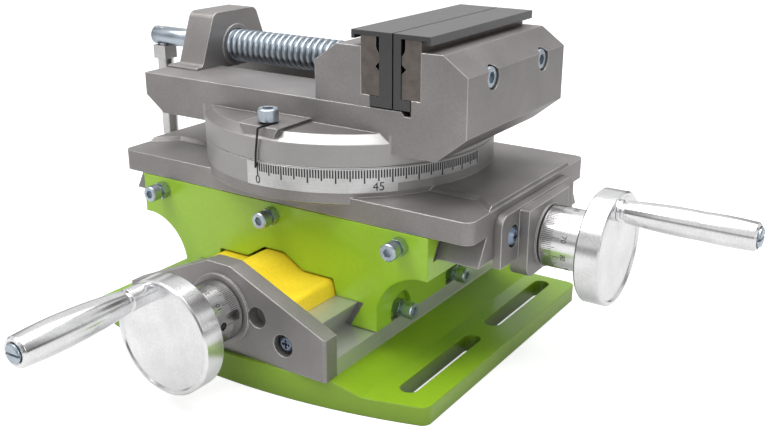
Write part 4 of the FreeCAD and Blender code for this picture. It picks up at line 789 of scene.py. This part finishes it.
class VISE_OT_screw_tower(bpy.types.Operator):
    """Casts the tower that carries the vise screw, with its foot, its fillets and the ring round its bore"""

    bl_idname = "vise.screw_tower"
    bl_label = "Screw tower"

    def execute(self, context):
        _, sizes, _ = settings()
        low, high = corners("screw_bracket")
        right = high.x - TOWER_RING_PROUD
        middle_y = (low.y + high.y) / 2
        foot, foot_top = (high.y - low.y) / 2, low.z + TOWER_FOOT
        root = TOWER_BASE_HALF + TOWER_STEP
        half = [(root, foot_top - 1 * MM), (root, foot_top),
                (TOWER_BASE_HALF, foot_top), (TOWER_TOP_HALF, high.z)]
        rounds = [SHARP, TOWER_FOOT_ROUND, TOWER_TOP_ROUND]
        tower = bent_line(half + [(-y, z) for y, z in reversed(half)], rounds + rounds[::-1])
        foot_line = bent_line([(foot, low.z), (foot, foot_top), (-foot, foot_top), (-foot, low.z)],
                              [TOWER_EDGE_ROUND, TOWER_EDGE_ROUND])
        parts = [self.prism([(middle_y + p.x, p.y) for p, _ in foot_line], low.x, right),
                 self.prism([(middle_y + p.x, p.y) for p, _ in tower], low.x + TOWER_STEP, right),
                 self.disc(TOWER_RING, right - 1 * MM, right + TOWER_RING_PROUD)]
        bore = self.disc(sizes.tower_bore, low.x - 1 * MM, right + 1 * MM)
        body = self.join(parts, bore)
        body.name = "screw_tower"
        smooth_but_edges(body)
        piece = new_piece("screw_tower", body, "vise", "grey_casting")
        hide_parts("screw_bracket")
        self.trimmed_bolts(foot_top + TOWER_BOLT_REACH)
        return {"FINISHED"}

    def trimmed_bolts(self, highest):
        """The tower's bolts, ended inside its sloping sides."""
        mesh = NODES["bracket_bolts"].data.copy()
        mesh.name = "bracket_bolts_trimmed"
        for vertex in mesh.vertices:
            vertex.co.z = min(vertex.co.z, highest)
        piece = new_piece(mesh.name, mesh, "vise", "zinc_plate")
        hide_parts("bracket_bolts")

    def prism(self, outline, left, right):
        """An outline across the screw's axis, drawn out from left to right."""
        points = [(x, y, z) for x in (left, right) for y, z in outline]
        count = len(outline)
        faces = [tuple(range(count)), tuple(range(2 * count - 1, count - 1, -1))]
        faces += [(i, (i + 1) % count, count + (i + 1) % count, count + i) for i in range(count)]
        return add_object("tower_part", closed_mesh("tower_part", points, faces))

    def disc(self, radius, left, right, around=64):
        """A round disc about the screw's axis."""
        turns = [2 * math.pi * k / around for k in range(around)]
        return self.prism([(SCREW_AXIS.y + radius * math.cos(t), SCREW_AXIS.z + radius * math.sin(t))
                           for t in turns], left, right)

    def join(self, parts, bore):
        """The parts made one closed form, with the bore cut through it."""
        main = parts[0]
        for operation, others in (("UNION", parts[1:]), ("DIFFERENCE", [bore])):
            for other in others:
                cutter = main.modifiers.new("join", "BOOLEAN")
                cutter.operation = operation
                cutter.solver = "EXACT"
                cutter.object = other
        return final_mesh(*parts, bore)


class VISE_OT_vise_screw(bpy.types.Operator):
    """Cuts the coarse thread of the vise screw"""

    bl_idname = "vise.vise_screw"
    bl_label = "Vise screw thread"

    def execute(self, context):
        _, sizes, _ = settings()
        low, high = corners("vise_screw")
        crest = (high.z - low.z) / 2
        jaw_low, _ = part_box("movable_jaw")
        body_low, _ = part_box("vise_body")
        thread_start = body_low[0] - 2 * MM
        thread_end = jaw_low[0] - 0.3 * MM
        runout = 2 * MM
        stations = spread(thread_start, thread_end, sizes.screw_pitch / 16)

        def radius_at(place, turn):
            depth = sizes.screw_depth
            near_end = min(place - thread_start, thread_end - place)
            if near_end < 1e-7:
                return crest - depth
            full = min(1.0, near_end / runout)
            height = thread_height(place / sizes.screw_pitch - turn / (2 * math.pi))
            return crest - depth + depth * height * full

        mesh = lathe_mesh("vise_screw_thread", "X", SCREW_AXIS, stations, 48, radius_at)
        piece = new_piece("vise_screw_thread", mesh, "vise_screw", "vise_thread_zinc")
        ends = self.smooth_ends(thread_start, thread_end)
        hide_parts("vise_screw")
        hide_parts("vise_screw")
        return {"FINISHED"}

    def smooth_ends(self, thread_start, thread_end):
        """The plain journals on both sides of the thread, cut from a copy of the screw's own solid."""
        mesh = NODES["vise_screw"].data.copy()
        mesh.name = "vise_screw_journals"
        work = bmesh.new()
        work.from_mesh(mesh)
        bmesh.ops.remove_doubles(work, verts=work.verts, dist=1e-6)
        drop = [f for f in work.faces if thread_start - HAIR <= min(v.co.x for v in f.verts)
                and max(v.co.x for v in f.verts) <= thread_end + HAIR]
        bmesh.ops.delete(work, geom=drop, context="FACES")
        holes = [e for e in work.edges if len(e.link_faces) == 1]
        bmesh.ops.holes_fill(work, edges=holes, sides=0)
        bmesh.ops.recalc_face_normals(work, faces=work.faces)
        work.to_mesh(mesh)
        work.free()
        return new_piece("vise_screw_journals", mesh, "vise_screw", "vise_screw_zinc")


def ring_of_marks_tree():
    """Thin bars set round an axis: every line of a dial, with every fifth and tenth longer."""
    tree = bpy.data.node_groups.get("ring_of_marks")
    if tree:
        return tree
    tree = bpy.data.node_groups.new("ring_of_marks", "GeometryNodeTree")
    kinds = {"Int": ("Count", "Middle Every", "Long Every", "Seed"),
             "Float": ("First Angle", "Step Angle", "Radius", "Width", "Thickness", "Short", "Middle", "Long"),
             "Material": ("Material",)}
    for kind, labels in kinds.items():
        for label in labels:
            tree.interface.new_socket(label, in_out="INPUT", socket_type="NodeSocket" + kind)
    tree.interface.new_socket("Geometry", in_out="OUTPUT", socket_type="NodeSocketGeometry")
    graph = Graph(tree)
    source = graph.node("NodeGroupInput").outputs
    dots = graph.node("GeometryNodeMeshLine", {"Count": source["Count"], "Offset": (0.0, 0.0, 0.0)})
    index = graph.node("GeometryNodeInputIndex").outputs[0]
    angle = graph.maths("ADD", source["First Angle"], graph.product(index, source["Step Angle"]))
    place = graph.node("ShaderNodeCombineXYZ", {
        "X": graph.product(graph.maths("COSINE", angle), source["Radius"]),
        "Y": graph.product(graph.maths("SINE", angle), source["Radius"])})
    set_place = graph.node("GeometryNodeSetPosition", {"Geometry": dots.outputs["Mesh"], "Position": place})
    is_middle = graph.maths("COMPARE", graph.maths("MODULO", index, source["Middle Every"]), 0.0)
    is_long = graph.maths("COMPARE", graph.maths("MODULO", index, source["Long Every"]), 0.0)
    jitter = graph.node("FunctionNodeRandomValue", {"Seed": source["Seed"]}, data_type="FLOAT")
    jitter.inputs["Min"].default_value = 0.97
    jitter.inputs["Max"].default_value = 1.03
    extra = graph.product(is_middle, graph.maths("SUBTRACT", source["Middle"], source["Short"]))
    length = graph.maths("ADD", source["Short"], extra)
    most = graph.product(is_long, source["Long"])
    length = graph.product(graph.maths("MAXIMUM", length, most),
                         [s for s in jitter.outputs if s.identifier == "Value_001"][0])
    turn = graph.node("ShaderNodeCombineXYZ", {"Z": angle})
    scale = graph.node("ShaderNodeCombineXYZ", {"X": 1.0, "Y": 1.0, "Z": length})
    thick = graph.node("ShaderNodeCombineXYZ", {"X": source["Thickness"], "Y": source["Width"], "Z": 1.0})
    bar = graph.node("GeometryNodeMeshCube", {"Size": thick})
    drop = graph.node("GeometryNodeTransform", {"Geometry": bar.outputs["Mesh"],
                                                "Translation": (0.0, 0.0, -0.5)})
    marks = graph.node("GeometryNodeInstanceOnPoints", {
        "Points": set_place, "Instance": drop, "Rotation": turn, "Scale": scale})
    real = graph.node("GeometryNodeRealizeInstances", {"Geometry": marks.outputs["Instances"]})
    dressed = graph.node("GeometryNodeSetMaterial", {"Geometry": real, "Material": source["Material"]})
    graph.node("NodeGroupOutput", {0: dressed})
    return tree


def bake_marks(name, place, **values):
    """Runs the ring of marks with its values and gives back a plain mesh, moved to its place."""
    tree = ring_of_marks_tree()
    holder = add_object(name + "_work", bpy.data.meshes.new(name + "_work"))
    modifier = holder.modifiers.new("marks", "NODES")
    modifier.node_group = tree
    values.update(Middle_Every=5, Long_Every=10, Material=bpy.data.materials["dial_mark"])
    for item in tree.interface.items_tree:
        if item.item_type == "SOCKET" and item.in_out == "INPUT":
            modifier[item.identifier] = values[item.name.replace(" ", "_")]
    mesh = final_mesh(holder)
    mesh.name = name
    mesh.transform(place)
    return mesh


def text_mesh(words, height):
    """A number as a plain mesh, lying in its own XY plane."""
    curve = bpy.data.curves.new("number_work", "FONT")
    curve.body = words
    curve.size = height / DIGIT_SHARE
    curve.align_x = "CENTER"
    curve.extrude = DIGIT_THICKNESS
    curve.resolution_u = 6
    return final_mesh(add_object("number_work", curve))


class VISE_OT_degree_marks(bpy.types.Operator):
    """Prints the divisions of the degree scale, one for each degree"""

    bl_idname = "vise.degree_marks"
    bl_label = "Degree scale lines"

    def execute(self, context):
        _, sizes, _ = settings()
        radius = SWIVEL.y - SCALE_LOW.y
        place = Matrix.Translation((SWIVEL.x, SWIVEL.y, SCALE_HIGH.z - 0.0004))
        mesh = bake_marks("degree_scale_lines", place, Count=91, First_Angle=-math.pi / 2,
                          Step_Angle=math.radians(1), Radius=radius, Width=sizes.mark_width,
                          Thickness=sizes.mark_lift * 2, Short=0.0040, Middle=0.0054, Long=0.0066, Seed=3)
        new_piece("degree_scale_lines", mesh, "table", "dial_mark")
        for number in (0, 45):
            self.number(number, radius, sizes)
        return {"FINISHED"}

    def number(self, number, radius, sizes):
        """One number, bent onto the scale below its line."""
        mesh = text_mesh(str(number), sizes.number_height)
        angle = math.radians(number) - math.pi / 2
        low = SCALE_LOW.z + 1.1 * MM
        for vertex in mesh.vertices:
            turn = angle + vertex.co.x / radius
            out = radius + sizes.mark_lift * (0.9 if vertex.co.z > 0 else -0.5)
            vertex.co = (SWIVEL.x + out * math.cos(turn), SWIVEL.y + out * math.sin(turn), low + vertex.co.y)
        mesh.name = f"degree_number_{number}"
        new_piece(mesh.name, mesh, "table", "dial_mark")


class VISE_OT_collar_marks(bpy.types.Operator):
    """Engraves the divisions on the two dial collars"""

    bl_idname = "vise.collar_marks"
    bl_label = "Dial collar lines"

    def execute(self, context):
        _, sizes, _ = settings()
        for body, node, axis, centre in (("lower_screw", "lower_graduated_collar", "Y", LOWER_AXIS),
                                         ("upper_screw", "upper_graduated_collar", "X", UPPER_AXIS)):
            low, high = corners(node)
            radius = (high.z - low.z) / 2
            if axis == "Y":
                first_line, spin = (centre.x, high.y - COLLAR_EDGE, centre.z), "X"
                ways = (Vector((centre.x, high.y, centre.z)), Vector((0, -1, 0)), Vector((1, 0, 0)))
            else:
                first_line, spin = (low.x + COLLAR_EDGE, centre.y, centre.z), "Y"
                ways = (Vector((low.x, centre.y, centre.z)), Vector((1, 0, 0)), Vector((0, 0, -1)))
            place = (Matrix.Translation(first_line) @ Matrix.Rotation(math.pi / 2, 4, spin)
                     @ Matrix.Scale(-1, 4, (0, 0, 1)))
            mesh = bake_marks(node + "_lines", place, Count=sizes.collar_divisions, First_Angle=0.0,
                              Step_Angle=2 * math.pi / sizes.collar_divisions, Radius=radius,
                              Width=COLLAR_MARK_WIDTH, Thickness=sizes.mark_lift * 1.2, Short=0.0056,
                              Middle=0.0074, Long=0.0096, Seed=5)
            mesh.flip_normals()
            new_piece(node + "_lines", mesh, body, "dial_mark")
            self.numbers(body, node, radius, sizes, *ways)
        return {"FINISHED"}

    def numbers(self, body, node, radius, sizes, base, up, first):
        """The numbers at every tenth line, in one mesh, with their tops towards the wheel."""
        across = up.cross(first)
        gather = bmesh.new()
        steps = sizes.collar_divisions // 10
        for step in range(steps):
            mesh = text_mesh(str(step * 10), sizes.collar_number_height)
            for vertex in mesh.vertices:
                turn = 2 * math.pi * step / steps + vertex.co.x / radius
                out = radius + sizes.mark_lift * (0.6 if vertex.co.z > 0 else -0.4)
                vertex.co = (base + up * (COLLAR_NUMBER_PLACE + vertex.co.y)
                             + (first * math.cos(turn) + across * math.sin(turn)) * out)
            gather.from_mesh(mesh)
            bpy.data.meshes.remove(mesh)
        whole = bpy.data.meshes.new(node + "_numbers")
        gather.to_mesh(whole)
        gather.free()
        new_piece(node + "_numbers", whole, body, "dial_mark")


class VISE_OT_lead_threads(bpy.types.Operator):
    """Cuts the threads of the two lead screws, which show through the open ends of the slides"""

    bl_idname = "vise.lead_threads"
    bl_label = "Lead screw threads"

    def execute(self, context):
        _, sizes, _ = settings()
        lower = ("lower_screw", "lower_lead_screw", "Y", LOWER_AXIS, "end_plate")
        upper = ("upper_screw", "upper_lead_screw", "X", UPPER_AXIS, "end_bracket")
        for body, node, axis, centre, plate in (lower, upper):
            low, high = corners(node)
            crest = (high.z - low.z) / 2
            plate_low, plate_high = corners(plate)
            if axis == "Y":
                start, end = plate_high.y + COLLAR_ROOM, high.y + THREAD_COVER
            else:
                start, end = low.x - THREAD_COVER, plate_low.x - COLLAR_ROOM
            self.thread(body, node, axis, centre, start, end, crest, sizes)
        return {"FINISHED"}

    def thread(self, body, node, axis, centre, start, end, crest, sizes):
        """A sleeve of thread standing a hair proud of the plain screw under it."""
        lift = 0.04 * MM
        runout = 1.2 * MM
        stations = spread(start, end, sizes.lead_pitch / 10)

        def radius_at(place, turn):
            near_end = min(place - start, end - place)
            full = max(0.0, min(1.0, near_end / runout))
            height = thread_height(place / sizes.lead_pitch - turn / (2 * math.pi))
            root = crest - sizes.lead_depth
            return root * (1 - full) + full * (root + sizes.lead_depth * height + lift)

        mesh = lathe_mesh(node + "_thread", axis, centre, stations, 36, radius_at)
        new_piece(node + "_thread", mesh, body, body + "_steel")


def lamp(name, place, target, size, power, tint):
    """A rectangular lamp that shines from its place at a target."""
    data = bpy.data.lights.new(name, "AREA")
    data.shape = "RECTANGLE"
    data.size, data.size_y = size
    data.energy = power
    data.color = tint
    obj = add_object(name, data)
    obj.location = place
    obj.rotation_euler = (Vector(target) - Vector(place)).to_track_quat("-Z", "Y").to_euler()


class VISE_OT_stage(bpy.types.Operator):
    """Sets the floor, the lamps, the room light and the camera"""

    bl_idname = "vise.stage"
    bl_label = "Stage"

    def execute(self, context):
        _, _, stage = settings()
        scene = context.scene
        scene.view_settings.view_transform = "Standard"
        self.camera(scene, stage)
        self.floor()
        self.room(scene, stage.sky)
        aim = (0, 0, 0.08)
        lamp("key_light", (-0.45, -0.55, 1.25), aim, (0.9, 0.7), stage.key_power, (1.0, 0.985, 0.965))
        lamp("fill_light", (1.15, -0.65, 0.55), aim, (0.5, 0.8), stage.fill_power, (0.97, 0.985, 1.0))
        lamp("top_light", (0.1, 0.15, 1.3), aim, (1.1, 0.9), stage.top_power, (1.0, 1.0, 1.0))
        return {"FINISHED"}

    def camera(self, scene, stage):
        a, e, roll = stage.azimuth, stage.elevation, stage.roll
        back = Vector((math.sin(a) * math.cos(e), -math.cos(a) * math.cos(e), math.sin(e)))
        side = Vector((math.cos(a), math.sin(a), 0))
        up = back.cross(side)
        right = side * math.cos(roll) + up * math.sin(roll)
        top = up * math.cos(roll) - side * math.sin(roll)
        data = bpy.data.cameras.new("photo_view")
        data.lens = stage.lens
        data.sensor_width = 36
        data.clip_start = 0.01
        camera = add_object("photo_view", data)
        turn = Matrix((right, top, back)).transposed().to_4x4()
        camera.matrix_world = Matrix.Translation(Vector(stage.eye)) @ turn
        scene.camera = camera

    def floor(self):
        mesh = bpy.data.meshes.new("floor")
        sides = ((-1, -1), (1, -1), (1, 1), (-1, 1))
        mesh.from_pydata([(x * FLOOR_HALF, y * FLOOR_HALF, -FLOOR_DROP) for x, y in sides], [], [(0, 1, 2, 3)])
        obj = add_object("floor", mesh)
        give(obj, self.floor_material())

    def floor_material(self):
        """White paper: shadows show in it faintly, and metal sees it as plain white."""
        material, graph, shader = start_material("white_paper")
        path = graph.node("ShaderNodeLightPath")
        seen = graph.product(path.outputs["Is Camera Ray"], 0.72)
        glow = graph.maths("ADD", seen, graph.product(path.outputs["Is Glossy Ray"], 0.22))
        dress(graph, shader, Base_Color=(0.55, 0.55, 0.55, 1.0), Roughness=0.9,
              Emission_Color=(1.0, 1.0, 1.0, 1.0), Emission_Strength=glow)
        return material

    def room(self, scene, strength):
        """Even room light with soft darker bands, which streak the polished metal."""
        world = bpy.data.worlds.new("room")
        scene.world = world
        world.use_nodes = True
        world.node_tree.nodes.clear()
        graph = Graph(world.node_tree)
        place = graph.node("ShaderNodeTexCoord").outputs["Generated"]
        parts = graph.node("ShaderNodeSeparateXYZ", {0: place}).outputs
        turn = graph.maths("ARCTAN2", parts["Y"], parts["X"])
        bands = graph.maths("SINE", graph.product(turn, 5.0))
        dip = graph.ramp(bands, 0.2, 0.9, 1.0, 0.3)
        rise = graph.ramp(parts["Z"], -0.2, 0.7, 0.45, 1.25)
        lit = graph.product(rise, strength)
        streak = graph.maths("SUBTRACT", 1.0, graph.product(graph.band(parts["Z"], 0.0, 0.2, 0.04), 0.6))
        glossy = graph.product(dip, streak, 0.85)
        path = graph.node("ShaderNodeLightPath")
        mixed = graph.blend(path.outputs["Is Glossy Ray"], graph.grey(lit), graph.grey(glossy))
        white = graph.blend(path.outputs["Is Camera Ray"], mixed, (1.0, 1.0, 1.0))
        surface = graph.node("ShaderNodeBackground", {"Color": white, "Strength": 1.0})
        graph.node("ShaderNodeOutputWorld", {"Surface": surface})


OPERATORS = (VISE_OT_finishes, VISE_OT_screw_covers, VISE_OT_screw_tower, VISE_OT_vise_screw,
             VISE_OT_lead_threads, VISE_OT_degree_marks, VISE_OT_collar_marks, VISE_OT_stage)


class VISE_PT_panel(bpy.types.Panel):
    """Lists the steps that build the vise's looks"""

    bl_idname = "VISE_PT_panel"
    bl_label = "Cross Slide Vise"
    bl_space_type = "VIEW_3D"
    bl_region_type = "UI"
    bl_category = "Vise"

    def draw(self, context):
        for group_name in GROUPS:
            box = self.layout.box()
            values = getattr(context.scene, group_name)
            for name in values.bl_rna.properties.keys():
                if name not in ("rna_type", "name"):
                    box.prop(values, name)
        for step in OPERATORS:
            self.layout.operator(step.bl_idname)


GROUPS = {"vise_paints": VisePaints, "vise_sizes": ViseSizes, "vise_stage": ViseStage}
CLASSES = (*GROUPS.values(), *OPERATORS, VISE_PT_panel)


def register():
    for item in CLASSES:
        bpy.utils.register_class(item)
    for name, kind in GROUPS.items():
        setattr(bpy.types.Scene, name, bpy.props.PointerProperty(type=kind))


def unregister():
    for name in reversed(GROUPS):
        delattr(bpy.types.Scene, name)
    for item in reversed(CLASSES):
        bpy.utils.unregister_class(item)


def main():
    register()
    bpy.ops.vise.finishes()
    bpy.ops.vise.screw_covers()
    bpy.ops.vise.screw_tower()
    bpy.ops.vise.vise_screw()
    bpy.ops.vise.lead_threads()
    bpy.ops.vise.degree_marks()
    bpy.ops.vise.collar_marks()
    bpy.ops.vise.stage()
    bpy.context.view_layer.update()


if __name__ == "__main__":
    main()
